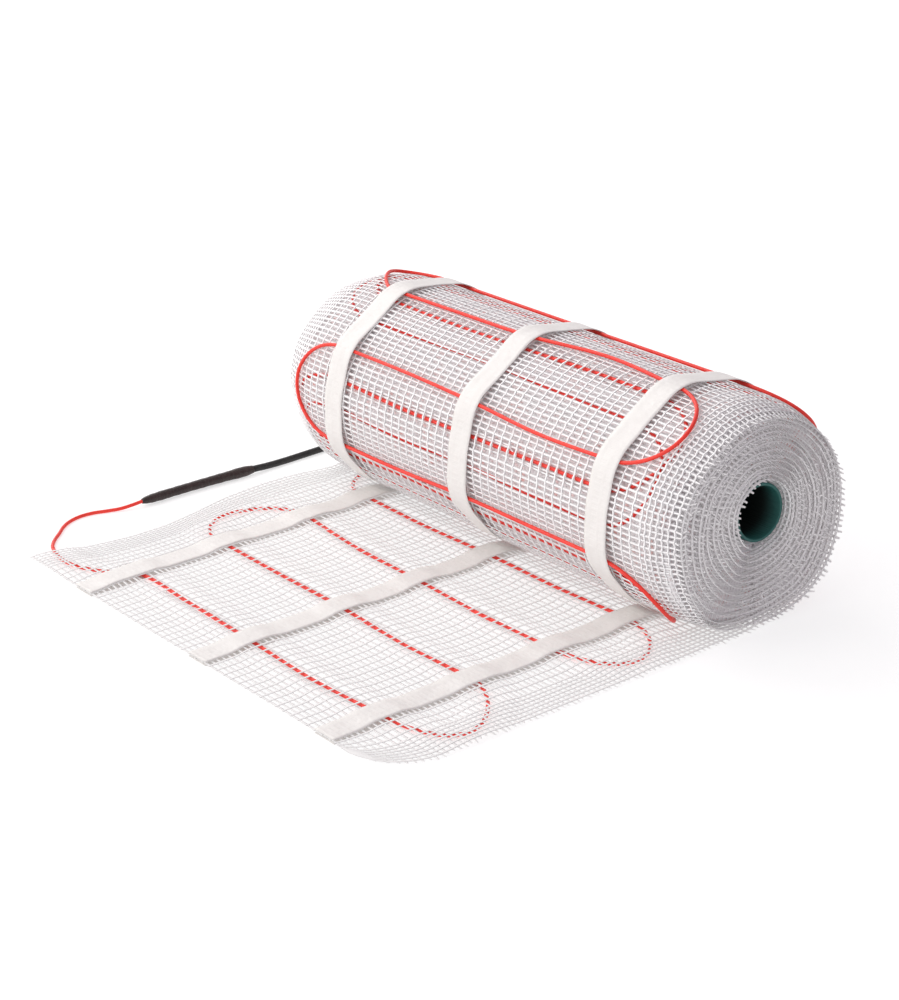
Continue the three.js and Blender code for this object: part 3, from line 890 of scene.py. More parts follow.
@dataclass(frozen=True)
class Finish:
    """A finish; each kind says in dress how its surface looks."""

    name: str
    effects: EffectLibrary = field(repr=False)

    def build(self) -> bpy.types.Material:
        """Makes the material."""
        made = bpy.data.materials.new(self.name)
        made.use_nodes = True
        made.node_tree.nodes.clear()
        sketch = NodeSketch(made.node_tree)
        shader = sketch.node("ShaderNodeBsdfPrincipled")
        sketch.node("ShaderNodeOutputMaterial", {"Surface": shader.outputs["BSDF"]})
        self.dress(sketch, shader)
        return made

    def dress(self, sketch: NodeSketch, shader: bpy.types.Node) -> None:
        """Sets the shader's colour, gloss and relief."""
        raise NotImplementedError

    def place(self, sketch: NodeSketch) -> bpy.types.NodeSocket:
        """Place in the piece, in metres."""
        return sketch.node("ShaderNodeTexCoord").outputs["Object"]

    def mat_place(self, sketch: NodeSketch) -> bpy.types.NodeSocket:
        """Place on the mat or along a tube, in metres, from the piece's own map."""
        return sketch.node("ShaderNodeUVMap", uv_map="mat_place").outputs["UV"]

    def mottle(
        self, sketch: NodeSketch, place: bpy.types.NodeSocket, scale: float, detail: float,
        low: float = 0.0, high: float = 1.0,
    ) -> bpy.types.NodeSocket:
        """Soft irregular value between low and high."""
        return sketch.group(
            self.effects.mottle, "Value", Vector=place, Scale=scale, Detail=detail, Low=low, High=high
        )

    def pass_light(self, shader: bpy.types.Node, colour: tuple[float, float, float], strength: float) -> None:
        """Painted glow: emission that stands for the light which comes through a thin white thing from the
        bright floor.
        """
        shader.inputs["Emission Color"].default_value = (*colour, 1)
        shader.inputs["Emission Strength"].default_value = strength

    def relief(self, sketch: NodeSketch, shader: bpy.types.Node, height: object, depth: float) -> None:
        """Gives the shader a relief of the given depth, in metres."""
        bump = sketch.node("ShaderNodeBump", {"Height": height, "Distance": depth, "Strength": 1.0})
        sketch.feed(bump.outputs["Normal"], shader.inputs["Normal"])


@dataclass(frozen=True)
class YarnFinish(Finish):
    """Coated glass-fibre yarn."""

    light: tuple[float, float, float] = (0.93, 0.92, 0.92)
    dull: tuple[float, float, float] = (0.87, 0.85, 0.855)
    painted_glow: float = 0.05

    def dress(self, sketch: NodeSketch, shader: bpy.types.Node) -> None:
        """White coating that thins in places, over fine fibres."""
        place = self.place(sketch)
        patch = self.mottle(sketch, place, 150.0, 2.0)
        colour = sketch.mix(patch, self.light, self.dull)
        sketch.feed(colour, shader.inputs["Base Color"])
        gloss = self.mottle(sketch, place, 500.0, 1.0, 0.45, 0.7)
        sketch.feed(gloss, shader.inputs["Roughness"])
        fibres = self.mottle(sketch, place, 2600.0, 2.0)
        self.relief(sketch, shader, fibres, 0.03 * MM)
        # Painted glow: a faint emission stands for light coming through the white yarn.
        self.pass_light(shader, self.light, self.painted_glow)


@dataclass(frozen=True)
class WindingFinish(Finish):
    """The turns that lie deeper in the roll, seen through the outer ones."""

    yarn: tuple[float, float, float] = (0.93, 0.91, 0.915)
    painted_cell_shade: tuple[float, float, float] = (0.8, 0.75, 0.765)
    glow: tuple[float, float, float] = (0.86, 0.4, 0.36)
    shift: tuple[float, float, float] = (3.1 * MM, 1.9 * MM, 0.0)

    def dress(self, sketch: NodeSketch, shader: bpy.types.Node) -> None:
        """Net lines over cells with painted shade of the deeper turns, some of them reddened by cable further
        in.
        """
        place = self.mat_place(sketch)
        lines = sketch.group(self.effects.net_lines, "Mask", Vector=place)
        shifted = sketch.node(
            "ShaderNodeMapping", {"Vector": place, "Location": self.shift, "Scale": (1.0, 1.03, 1.0)}
        ).outputs["Vector"]
        under = sketch.group(self.effects.net_lines, "Mask", Vector=shifted)
        red = self.mottle(sketch, place, 60.0, 3.0, -0.8, 0.9)
        # Painted shade: the cells are darker than the net lines, as the deeper turns seen through them lie in
        # shade.
        cells = sketch.mix(sketch.math("MAXIMUM", red, 0.0), self.painted_cell_shade, self.glow)
        cells = sketch.mix(sketch.math("MULTIPLY", under, 0.7), cells, self.yarn)
        colour = sketch.mix(lines, cells, self.yarn)
        sketch.feed(colour, shader.inputs["Base Color"])
        shader.inputs["Roughness"].default_value = 0.8
        height = sketch.math("MAXIMUM", lines, sketch.math("MULTIPLY", under, 0.6))
        self.relief(sketch, shader, height, 0.8 * MM)


@dataclass(frozen=True)
class TapeFinish(Finish):
    """White adhesive tape over the net."""

    face: tuple[float, float, float] = (0.72, 0.70, 0.68)
    thin: tuple[float, float, float] = (0.69, 0.665, 0.64)
    painted_glow: float = 0.1

    def dress(self, sketch: NodeSketch, shader: bpy.types.Node) -> None:
        """Satin film that shows a little of the net and ripples gently."""
        place = self.mat_place(sketch)
        lines = sketch.group(self.effects.net_lines, "Mask", Vector=place)
        ripple = self.mottle(sketch, place, 90.0, 3.0)
        shade = sketch.math("MULTIPLY", ripple, 0.6)
        sketch.feed(sketch.mix(shade, self.face, self.thin), shader.inputs["Base Color"])
        gloss = self.mottle(sketch, place, 240.0, 2.0, 0.38, 0.55)
        sketch.feed(gloss, shader.inputs["Roughness"])
        height = sketch.math("MULTIPLY_ADD", lines, 0.25, ripple)
        self.relief(sketch, shader, height, 0.35 * MM)
        # Painted glow: emission stands for light coming through the thin tape.
        self.pass_light(shader, self.face, self.painted_glow)


@dataclass(frozen=True)
class SheathFinish(Finish):
    """Extruded plastic sheath of a cable, lead or wire."""

    colour: tuple[float, float, float] = (0.88, 0.04, 0.022)
    worn: tuple[float, float, float] = (0.78, 0.03, 0.018)
    rough: float = 0.45
    stripe: tuple[float, float, float] | None = None

    def dress(self, sketch: NodeSketch, shader: bpy.types.Node) -> None:
        """Even colour with faint drawing marks, dulled here and there; an earth wire has a stripe."""
        place = self.mat_place(sketch)
        solid = self.place(sketch)
        patch = self.mottle(sketch, solid, 70.0, 4.0)
        colour = sketch.mix(patch, self.colour, self.worn)
        if self.stripe is not None:
            split = sketch.node("ShaderNodeSeparateXYZ", {"Vector": place})
            round_it = sketch.math("PINGPONG", split.outputs["Y"], 1.7 * MM)
            band = sketch.math("GREATER_THAN", round_it, 0.95 * MM)
            colour = sketch.mix(band, colour, self.stripe)
        sketch.feed(colour, shader.inputs["Base Color"])
        gloss = self.mottle(sketch, solid, 300.0, 2.0, self.rough - 0.08, self.rough + 0.12)
        sketch.feed(gloss, shader.inputs["Roughness"])
        marks = self.mottle(sketch, solid, 900.0, 2.0)
        self.relief(sketch, shader, marks, 0.05 * MM)


@dataclass(frozen=True)
class ShrinkFinish(Finish):
    """Shrunk tubing of the splice."""

    face: tuple[float, float, float] = (0.018, 0.008, 0.007)
    bloom: tuple[float, float, float] = (0.034, 0.018, 0.016)

    def dress(self, sketch: NodeSketch, shader: bpy.types.Node) -> None:
        """Dark satin tubing with wrinkles round it."""
        place = self.mat_place(sketch)
        solid = self.place(sketch)
        bloom = self.mottle(sketch, solid, 120.0, 5.0)
        sketch.feed(sketch.mix(bloom, self.face, self.bloom), shader.inputs["Base Color"])
        shader.inputs["Roughness"].default_value = 0.42
        rings = sketch.group(self.effects.rings, "Height", Vector=place, Pitch=3.4 * MM, Unevenness=1.6)
        grain = self.mottle(sketch, solid, 500.0, 3.0)
        self.relief(sketch, shader, sketch.math("MULTIPLY_ADD", grain, 0.6, rings), 0.14 * MM)


@dataclass(frozen=True)
class CoreFinish(Finish):
    """Extruded green core tube."""

    face: tuple[float, float, float] = (0.012, 0.115, 0.1)
    scuffed: tuple[float, float, float] = (0.03, 0.15, 0.14)
    bore_shade: tuple[float, float, float] = (0.004, 0.008, 0.007)
    dark_from: float = 226 * MM
    lit_from: float = 251 * MM

    def dress(self, sketch: NodeSketch, shader: bpy.types.Node) -> None:
        """Matt plastic with long drawing lines and scuffs; painted shade darkens it to near black deep in the
        bore, and it is lit towards the rims.
        """
        solid = self.place(sketch)
        scuff = self.mottle(sketch, solid, 60.0, 5.0, -0.5, 0.8)
        share = sketch.math("MAXIMUM", scuff, 0.0)
        depth = sketch.node("ShaderNodeSeparateXYZ", {"Vector": solid}).outputs["X"]
        # Painted shade: the tube darkens to near black deep in the bore and is lit towards its rims.
        near_rim = sketch.node(
            "ShaderNodeMapRange",
            {"Value": sketch.math("ABSOLUTE", depth), "From Min": self.dark_from, "From Max": self.lit_from},
            interpolation_type="SMOOTHSTEP",
        ).outputs["Result"]
        scuffed = sketch.mix(share, self.face, self.scuffed)
        sketch.feed(sketch.mix(near_rim, self.bore_shade, scuffed), shader.inputs["Base Color"])
        shader.inputs["Roughness"].default_value = 0.5
        mapping = sketch.node("ShaderNodeMapping", {"Vector": solid, "Scale": (0.04, 1.0, 1.0)})
        stretched = mapping.outputs["Vector"]
        lines = self.mottle(sketch, stretched, 900.0, 2.0)
        self.relief(sketch, shader, lines, 0.15 * MM)


@dataclass(frozen=True)
class CopperFinish(Finish):
    """Bare stranded copper."""

    bright: tuple[float, float, float] = (0.8, 0.42, 0.24)
    tarnished: tuple[float, float, float] = (0.5, 0.24, 0.13)

    def dress(self, sketch: NodeSketch, shader: bpy.types.Node) -> None:
        """Bright twisted strands."""
        place = self.mat_place(sketch)
        tarnish = self.mottle(sketch, self.place(sketch), 400.0, 3.0)
        sketch.feed(sketch.mix(tarnish, self.bright, self.tarnished), shader.inputs["Base Color"])
        shader.inputs["Metallic"].default_value = 1.0
        shader.inputs["Roughness"].default_value = 0.32
        strands = sketch.group(self.effects.rings, "Height", Vector=place, Pitch=0.6 * MM, Unevenness=0.2)
        self.relief(sketch, shader, strands, 0.12 * MM)


@dataclass
class Palette:
    """Every finish of the mat, built once."""

    effects: EffectLibrary
    yarn: bpy.types.Material = field(init=False)
    glow_painted_yarn: bpy.types.Material = field(init=False)
    winding: bpy.types.Material = field(init=False)
    tape: bpy.types.Material = field(init=False)
    cable: bpy.types.Material = field(init=False)
    lead: bpy.types.Material = field(init=False)
    sleeve: bpy.types.Material = field(init=False)
    core: bpy.types.Material = field(init=False)
    brown: bpy.types.Material = field(init=False)
    earth: bpy.types.Material = field(init=False)
    blue: bpy.types.Material = field(init=False)
    copper: bpy.types.Material = field(init=False)

    def __post_init__(self) -> None:
        """Builds the materials."""
        effects = self.effects
        self.yarn = YarnFinish("coated_yarn", effects).build()
        # The free end's yarn is a darker copy with a strong painted glow, which stands for light from the
        # bright floor coming through it.
        self.glow_painted_yarn = YarnFinish(
            "yarn_with_painted_glow", effects, (0.56, 0.55, 0.547), (0.53, 0.52, 0.52), 0.52
        ).build()
        self.winding = WindingFinish("inner_winding", effects).build()
        self.tape = TapeFinish("white_tape_film", effects).build()
        self.cable = SheathFinish("red_sheath", effects).build()
        self.lead = SheathFinish(
            "black_sheath", effects, (0.006, 0.005, 0.005), (0.013, 0.011, 0.01), 0.42
        ).build()
        self.sleeve = ShrinkFinish("shrunk_tubing", effects).build()
        self.core = CoreFinish("green_core", effects).build()
        self.brown = SheathFinish("brown_insulation", effects, (0.16, 0.05, 0.02), (0.1, 0.03, 0.015)).build()
        self.earth = SheathFinish(
            "earth_insulation", effects, (0.1, 0.32, 0.03), (0.07, 0.24, 0.025), stripe=(0.75, 0.6, 0.05)
        ).build()
        self.blue = SheathFinish("blue_insulation", effects, (0.02, 0.11, 0.45), (0.015, 0.08, 0.34)).build()
        self.copper = CopperFinish("bare_copper", effects).build()


# Pieces of the mat


def settle_piece(piece: bpy.types.Object, slot: Slot, *nodes: str) -> bpy.types.Object:
    """Makes a piece ride on the mat and lets it stand for CAD nodes.

    Args:
        piece: The piece.
        slot: The record's slot; not used.
        nodes: CAD nodes that it stands for.

    Returns:
        The piece.
    """
    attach(piece, BODY)
    if nodes:
        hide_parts(*nodes)
    faces = sum(len(p.vertices) - 2 for p in piece.data.polygons)
    log.info("%s: %d triangles", piece.name, faces)
    return piece


@dataclass
class GlassNet:
    """The net: wefts across the mat and warps along it, which are flat, or twisted pairs on the roll."""

    form: MatForm
    course: CableCourse
    height: MeshHeight
    palette: Palette
    tree: GeometryTree
    warp_pitch: float = WARP_PITCH
    weft_pitch: float = WEFT_PITCH
    weft_width: float = 2.1 * MM
    warp_width: float = 1.9 * MM
    thickness: float = 0.26 * MM
    pair_swing: float = 0.5 * MM
    fringe: float = 5.2 * MM
    parting: float = 3.2 * MM
    parting_fade: tuple[float, float] = (166 * MM, 188 * MM)
    nestle: float = 2 * MM
    selvage_reach: float = 216 * MM
    body_radius: float = 85.4 * MM
    body_reach: float = 243 * MM
    body_level: float = 198 * MM
    body_segments: int = 96
    funnel_depth: float = 5 * MM
    margin_warps: int = 8
    margin_radius: float = 50 * MM
    margin_start: float = 350 * DEGREE
    margin_stop: float = 30 * DEGREE
    seed: int = 11

    def warp_places(self) -> Array:
        """Places of the warps across the mat, closer together in the margins."""
        count = math.floor((self.form.width - 2 * MM) / self.warp_pitch)
        even = (np.arange(count + 1) - count / 2) * self.warp_pitch
        between = (even[1:] + even[:-1]) / 2
        return np.sort(np.concatenate([even, between[np.abs(between) > self.selvage_reach]]))

    def free_surface(self, x: Array, s: Array, out: Array) -> Array:
        """Surface of the free end's net; out is its height over the net's middle."""
        form = self.form
        across = form.inside_edges(x, s)
        z = self.height.at(across, s) + form.mesh_thickness / 2 + out
        return np.stack([across + form.origin_x, s + form.origin_y, z], axis=-1)

    def wound_surface(self, x: Array, angle: Array, out: Array) -> Array:
        """Surface of the wound net; its second coordinate is the total angle."""
        return self.form.wound(x, angle, out - self.form.mesh_thickness / 2)

    def wobble(
        self, rng: np.random.Generator, lines: int, stations: Array, size: float, wavelength: float
    ) -> Array:
        """Gentle wanderings of lines.

        Args:
            rng: Random source.
            lines: Number of lines.
            stations: Places along a line.
            size: Size of the wandering.
            wavelength: Its length along the line.

        Returns:
            One row of wanderings for each line.
        """
        made = np.zeros((lines, len(stations)))
        for part in (1.0, 0.43):
            phase = rng.uniform(0, 2 * np.pi, (lines, 1))
            scale = rng.uniform(0.5, 1.0, (lines, 1))
            made += part * scale * np.sin(2 * np.pi * stations[None] / (wavelength * part) + phase)
        return made * size

    def beside_runs(self, x: Array, s: Array, runs: Array) -> tuple[Array, Array]:
        """Moves wefts off the cable runs that show through the net, and down beside them.

        Args:
            x: Places across the mat.
            s: Places along it.
            runs: Places along the mat of the runs, for each x.

        Returns:
            New places along the mat, and how far they sink into it.
        """
        if not len(runs):
            return s, np.zeros_like(s)
        away = s[None] - runs
        push = np.sign(away) * np.maximum(0, self.parting - np.abs(away))
        near = crest(np.abs(x), *self.parting_fade)
        beside = crest(np.abs(away).min(axis=0), self.parting, 2.6 * self.parting)
        return s + push.sum(axis=0) * near, self.nestle * near * beside

    def lay_net(
        self, surface: Surface, rows: Array, step: float, pairs: bool, runs: Callable[[Array], Array],
        ends: tuple[bool, bool] = (False, False),
    ) -> tuple[YarnGuides, YarnGuides]:
        """Guides of a stretch of net.

        Args:
            surface: The surface that it lies on.
            rows: Places of the wefts, in the surface's second coordinate.
            step: That coordinate's change for one millimetre along the mat.
            pairs: Whether a warp is a twisted pair or one flat yarn.
            runs: Gives the places of the cable runs that show through it, in that coordinate.
            ends: Whether the warps' ends stick out past the first and the last weft.

        Returns:
            Guides of the wefts and of the warps.
        """
        rng = np.random.default_rng(self.seed + len(rows))
        warps = self.warp_places()
        wefts = YarnGuides()
        edge = self.form.half
        tips = rng.uniform(0.3, 1.0, (len(rows), 2)) * self.fringe
        x = np.tile(warps, (len(rows), 1))
        x = np.column_stack([-edge - 0.4 * tips[:, :1], x, edge + tips[:, 1:]])
        sway = self.wobble(rng, len(rows), warps, 0.28, 120 * MM) * step
        curl = rng.normal(0, 0.8, (len(rows), 2)) * step
        sway = np.column_stack([sway[:, :1] + curl[:, :1], sway, sway[:, -1:] + curl[:, 1:]])
        girth = np.ones_like(x)
        girth[:, [0, -1]] = 0.6
        girth *= np.where(np.arange(len(rows)) % 2, 0.9, 1.08)[:, None]
        scale = step / MM
        places, sink = self.beside_runs(x, (rows[:, None] + sway) / scale, runs(x) / scale)
        wefts.add(surface, x, places * scale, -sink, girth)
        twisted = YarnGuides()
        along = rows.copy()
        lead = rng.uniform(0.8, 2.2, 2) * step
        if ends[0]:
            along = np.concatenate([[along[0] - lead[0]], along])
        if ends[1]:
            along = np.concatenate([along, [along[-1] + lead[1]]])
        drift = self.wobble(rng, len(warps), along / step * MM, 0.3 * MM, 210 * MM)
        s = np.tile(along, (len(warps), 1))
        swing = np.where(np.arange(len(along)) % 2, 1.0, -1.0)
        if pairs:
            for sign in (1, -1):
                x = warps[:, None] + drift + sign * self.pair_swing * swing
                twisted.add(surface, x, s, np.full_like(s, sign * 0.22 * MM))
        else:
            twisted.add(surface, warps[:, None] + drift, s, np.full_like(s, 0.1 * MM), 1.25)
        return wefts, twisted

    def grow(
        self, name: str, guides: tuple[YarnGuides, YarnGuides], finish: bpy.types.Material
    ) -> bpy.types.Object:
        """Turns guides of wefts and warps into one piece of net."""
        meshes = []
        for kind, guide, width in zip(("wefts", "warps"), guides, (self.weft_width, self.warp_width)):
            part = self.tree.grow(
                f"{name}_{kind}",
                guide.mesh(f"{name}_{kind}_guides"),
                {"Width": width, "Thickness": self.thickness, "Finish": finish},
            )
            meshes.append(part.data)
            bpy.data.objects.remove(part)
        net = new_object(name, joined(name, meshes), finish)
        return settle_piece(net, Slot.NET, "mesh_mat")

    def build_free_end(self) -> None:
        """The flat stretch on the floor."""
        rows = np.arange(-self.form.free_length + 0.8 * MM, -1 * MM, self.weft_pitch)

        def runs(x: Array) -> Array:
            """Places of the runs under the free end."""
            return np.stack([self.course.run_place(run, x / MM) * MM for run in range(5)])

        guides = self.lay_net(self.free_surface, rows, MM, False, runs, ends=(True, False))
        # The free end takes the darker copy of the yarn with the strong painted glow.
        self.grow("net_free_end", guides, self.palette.glow_painted_yarn)

    def build_outer_turn(self) -> None:
        """The outer turn, over its whole width."""
        form = self.form
        step = MM / form.winding_radius
        rows = np.arange(0, self.margin_start, self.weft_pitch / form.winding_radius)

        def runs(x: Array) -> Array:
            """Angles of the runs of the turn under this one."""
            return self.course.inner_runs(1, x / MM) * step

        guides = self.lay_net(self.wound_surface, rows, step, True, runs)
        self.grow("net_outer_turn", guides, self.palette.yarn)

    def build_margins(self, side: Side) -> None:
        """The margins of the inner turns at one end of the roll."""
        form = self.form
        rng = np.random.default_rng(self.seed + 100 + side.value)
        warps = self.warp_places()[-self.margin_warps :] * side.value
        angles = [self.margin_start]
        while angles[-1] < 2 * math.pi * form.turns - self.margin_stop:
            depth = float(form.turn_drop(np.array([angles[-1]]))[0])
            radius = form.winding_radius - form.turn_pitch * depth
            angles.append(angles[-1] + self.weft_pitch / max(radius, form.bore_radius))
        rows = np.array(angles)
        share = 0.8 if side is Side.RIGHT else 0.4
        tips = form.half + rng.uniform(0.1, 1.0, (len(rows), 1)) * self.fringe * share
        x = np.column_stack([np.tile(warps, (len(rows), 1)), tips * side.value])
        curl = np.zeros_like(x)
        curl[:, -1] = rng.normal(0, 1.2, len(rows)) * MM / self.margin_radius
        girth = np.ones_like(x)
        girth[:, -1] = 0.7
        wefts, along = YarnGuides(), YarnGuides()
        wefts.add(self.wound_surface, x, rows[:, None] + curl, np.zeros_like(x), girth)
        drift = self.wobble(rng, len(warps), rows * self.margin_radius, 0.5 * MM, 170 * MM)
        along.add(self.wound_surface, warps[:, None] + drift, np.tile(rows, (len(warps), 1)), 0.1 * MM, 1.7)
        self.grow(f"turn_margins_{side.name.lower()}", (wefts, along), self.palette.yarn)

    def build_winding(self) -> None:
        """The turns further in, which are seen only through the outer ones."""
        form = self.form
        bore = form.bore_radius + 0.2 * MM
        reach, level = self.body_reach, self.body_level
        x = np.concatenate([np.linspace(-reach, -level, 7), np.linspace(-level, level, 19)[1:]])
        x = np.concatenate([x, np.linspace(level, reach, 7)[1:]])
        walls = [(self.body_radius, place) for place in x]
        rings = np.linspace(1, 0, 14)
        funnel = self.funnel_depth * (1 - rings) ** 0.8
        radii = bore + (self.body_radius - bore) * rings
        right = list(zip(radii, reach - funnel))[1:]
        profile = [*walls, *right, *[(r, -v) for r, v in reversed(right)]]
        r, v = np.array(profile).T
        angle = np.linspace(0, 2 * np.pi, self.body_segments, endpoint=False)
        points = form.roll_point(v[:, None], r[:, None], angle[None])
        is_end = np.arange(len(profile)) >= len(walls)
        across = np.where(is_end, r * self.warp_pitch / form.turn_pitch, v)[:, None]
        uv = np.stack(np.broadcast_arrays(across, angle[None] * self.body_radius), -1).reshape(-1, 2)
        mesh = mesh_of("winding_body", points.reshape(-1, 3), turned_faces(*points.shape[:2]), uv)
        settle_piece(new_object("winding_body", mesh, self.palette.winding), Slot.NET, "mesh_mat")


@dataclass
class CoreTube:
    """The green tube that the mat is wound on."""

    form: MatForm
    palette: Palette
    wall: float = 2.3 * MM
    recess: float = 5 * MM
    segments: int = 112

    def build(self) -> None:
        """A turned tube with softened rims."""
        form = self.form
        half = form.half - self.recess
        outer, inner, soft = form.core_outer_radius, form.core_outer_radius - self.wall, 0.45 * MM
        inside = [(inner, v) for v in np.linspace(-half + soft, half - soft, 9)]
        outside = [(outer, v) for v in np.linspace(half - soft, -half + soft, 9)]
        profile = [*inside, (inner + soft, half), (outer - soft, half), *outside, (outer - soft, -half),
                   (inner + soft, -half)]
        angle = np.linspace(0, 2 * np.pi, self.segments, endpoint=False)
        r, v = np.array(profile).T
        y = r[:, None] * np.sin(angle) + form.core_shift + form.origin_y
        z = r[:, None] * np.cos(angle) + form.axis_height + form.core_rise
        x = np.broadcast_to(v[:, None] + form.origin_x, y.shape)
        faces = turned_faces(len(profile), self.segments)
        mesh = mesh_of("core_tube_turned", np.stack([x, y, z], -1).reshape(-1, 3), faces)
        settle_piece(new_object("core_tube_turned", mesh, self.palette.core), Slot.CORE, "core_tube")


@dataclass
class Tapes:
    """The tapes that hold the cable, and those on the mesh's other side."""

    form: MatForm
    course: CableCourse
    height: MeshHeight
    palette: Palette
    step: float = 2.5 * MM
    columns: int = 9
    first_wound_run: int = 4
    backing_length: float = 297 * MM
    names: tuple[str, str, str] = ("left", "centre", "right")

    def standoff(self, x: Array, s: Array) -> Array:
        """How far a fixing tape's inner face stands off the mesh: flat on the floor, tented over each run."""
        form = self.form
        over = form.cable_diameter + 2 * form.clearance
        runs = range(self.first_wound_run, len(self.course.drift))
        places = np.stack([self.course.run_place(run, x / MM) * MM for run in runs])
        nearest = np.abs(s[None] - places).min(axis=0)
        tented = form.clearance + (over - form.clearance) * crest(nearest, form.tent_plateau, form.tent_reach)
        return np.where(s <= places[0], over, tented)

    def edges(self, seed: int, s: Array, centre: float) -> Array:
        """Grid of places across a tape, whose edges wander a little."""
        rng = np.random.default_rng(seed)
        phase = rng.uniform(0, 2 * np.pi, 4)
        sway = 0.35 * MM * np.sin(s / 0.031 + phase[0]) + 0.25 * MM * np.sin(s / 0.012 + phase[1])
        share = np.linspace(-0.5, 0.5, self.columns)
        return centre + share[None] * self.form.tape_width + sway[:, None]

    def build_fixing(self, side: int) -> None:
        """A fixing tape: under the free end, then round the roll over the cable."""
        form, name = self.form, f"fixing_tape_{self.names[side]}"
        centre = form.tape_places[side]
        end = form.tape_end_angle * form.winding_radius
        s = np.arange(-form.free_length, end, self.step)
        x = self.edges(side, s, centre)
        place = np.broadcast_to(s[:, None], x.shape)
        stand = self.standoff(np.full(len(s), centre), s)[:, None]
        ripple = 0.12 * MM * (1 + np.sin(place / 0.0085 + 3 * np.sin(x / 0.009))) * (place > 0)
        inner = form.on_mat(x, place, stand + ripple)
        outer = form.on_mat(x, place, stand + ripple + form.tape_thickness)
        mesh = slab(name + "_film", outer, inner, np.stack([x, place], -1))
        settle_piece(new_object(name + "_film", mesh, self.palette.tape), Slot.TAPE, name)

    def build_backing(self, side: int) -> None:
        """A backing tape: on the mesh's upper side, as far as the roll."""
        form, name = self.form, f"backing_tape_{self.names[side]}"
        centre = form.tape_places[side]
        s = np.arange(-form.free_length, -form.free_length + self.backing_length, self.step)
        x = self.edges(10 + side, s, centre)
        place = np.broadcast_to(s[:, None], x.shape)
        level = self.height.at(np.full(len(s), centre), s)[:, None] + form.mesh_thickness + form.clearance
        ripple = 0.14 * MM * np.sin(place / 0.011 + 2 * np.sin(x / 0.01 + side))
        base = np.broadcast_to(level, x.shape) + np.maximum(ripple, -0.1 * MM)
        lower = np.stack([x + form.origin_x, place + form.origin_y, base], -1)
        upper = lower + np.array([0, 0, form.tape_thickness])
        mesh = slab(name + "_film", upper, lower, np.stack([x, place], -1))
        settle_piece(new_object(name + "_film", mesh, self.palette.tape), Slot.TAPE, name)

    def build(self) -> None:
        """All six tapes."""
        for side in range(len(self.names)):
            self.build_fixing(side)
            self.build_backing(side)


@dataclass
class HeatingCable:
    """The red cable on the mat."""

    form: MatForm
    course: CableCourse
    palette: Palette
    step: float = 2.6 * MM
    sides: int = 12
    sunk: float = 1.3 * MM

    @property
    def radius(self) -> float:
        """Radius of the cable."""
        return self.form.cable_diameter / 2

    def build(self) -> None:
        """The cable of the free end and the outer turn."""
        line = self.course.line(self.step)
        out = np.full(len(line), self.form.clearance + self.radius)
        path = self.form.on_mat(line[:, 0], line[:, 1], out)
        mesh = tube("heating_cable_sheath", path, self.radius, self.sides)
        piece = new_object("heating_cable_sheath", mesh, self.palette.cable)
        settle_piece(piece, Slot.CABLE, "heating_cable")

    def build_inner(self) -> None:
        """The cable of the inner turns, seen through the net."""
        form = self.form
        meshes = []
        for turn in self.course.inner_places:
            line = self.course.inner_line(turn, 2 * self.step)
            angle = line[:, 1] / form.winding_radius + 2 * math.pi
            sink = (turn - 1) * self.sunk
            path = form.wound(line[:, 0], angle, form.clearance + self.radius - sink)
            meshes.append(tube(f"inner_turn_{turn}", path, self.radius, 8))
        rng = np.random.default_rng(31)
        for turn in range(3, form.turns - 1):
            for side in (-1, 1):
                for start in np.arange(rng.uniform(0, 1.5), 2 * np.pi - 0.9, rng.uniform(1.5, 2.2)):
                    bulge = rng.uniform(40, 56)
                    radius = form.winding_radius - turn * form.turn_pitch
                    spread = self.course.run_pitch * MM / radius
                    bend = np.array(self.course.bend(0, 1, side, bulge, 0.1)) * (MM, spread)
                    angle = bend[:, 1] + start + 2 * math.pi * turn
                    path = form.wound(bend[:, 0], angle, form.clearance + self.radius)
                    meshes.append(tube("inner_bend", spline(path, 5 * MM), self.radius, 6))
        mesh = joined("inner_cable_turns", meshes)
        settle_piece(new_object("inner_cable_turns", mesh, self.palette.cable), Slot.CABLE)


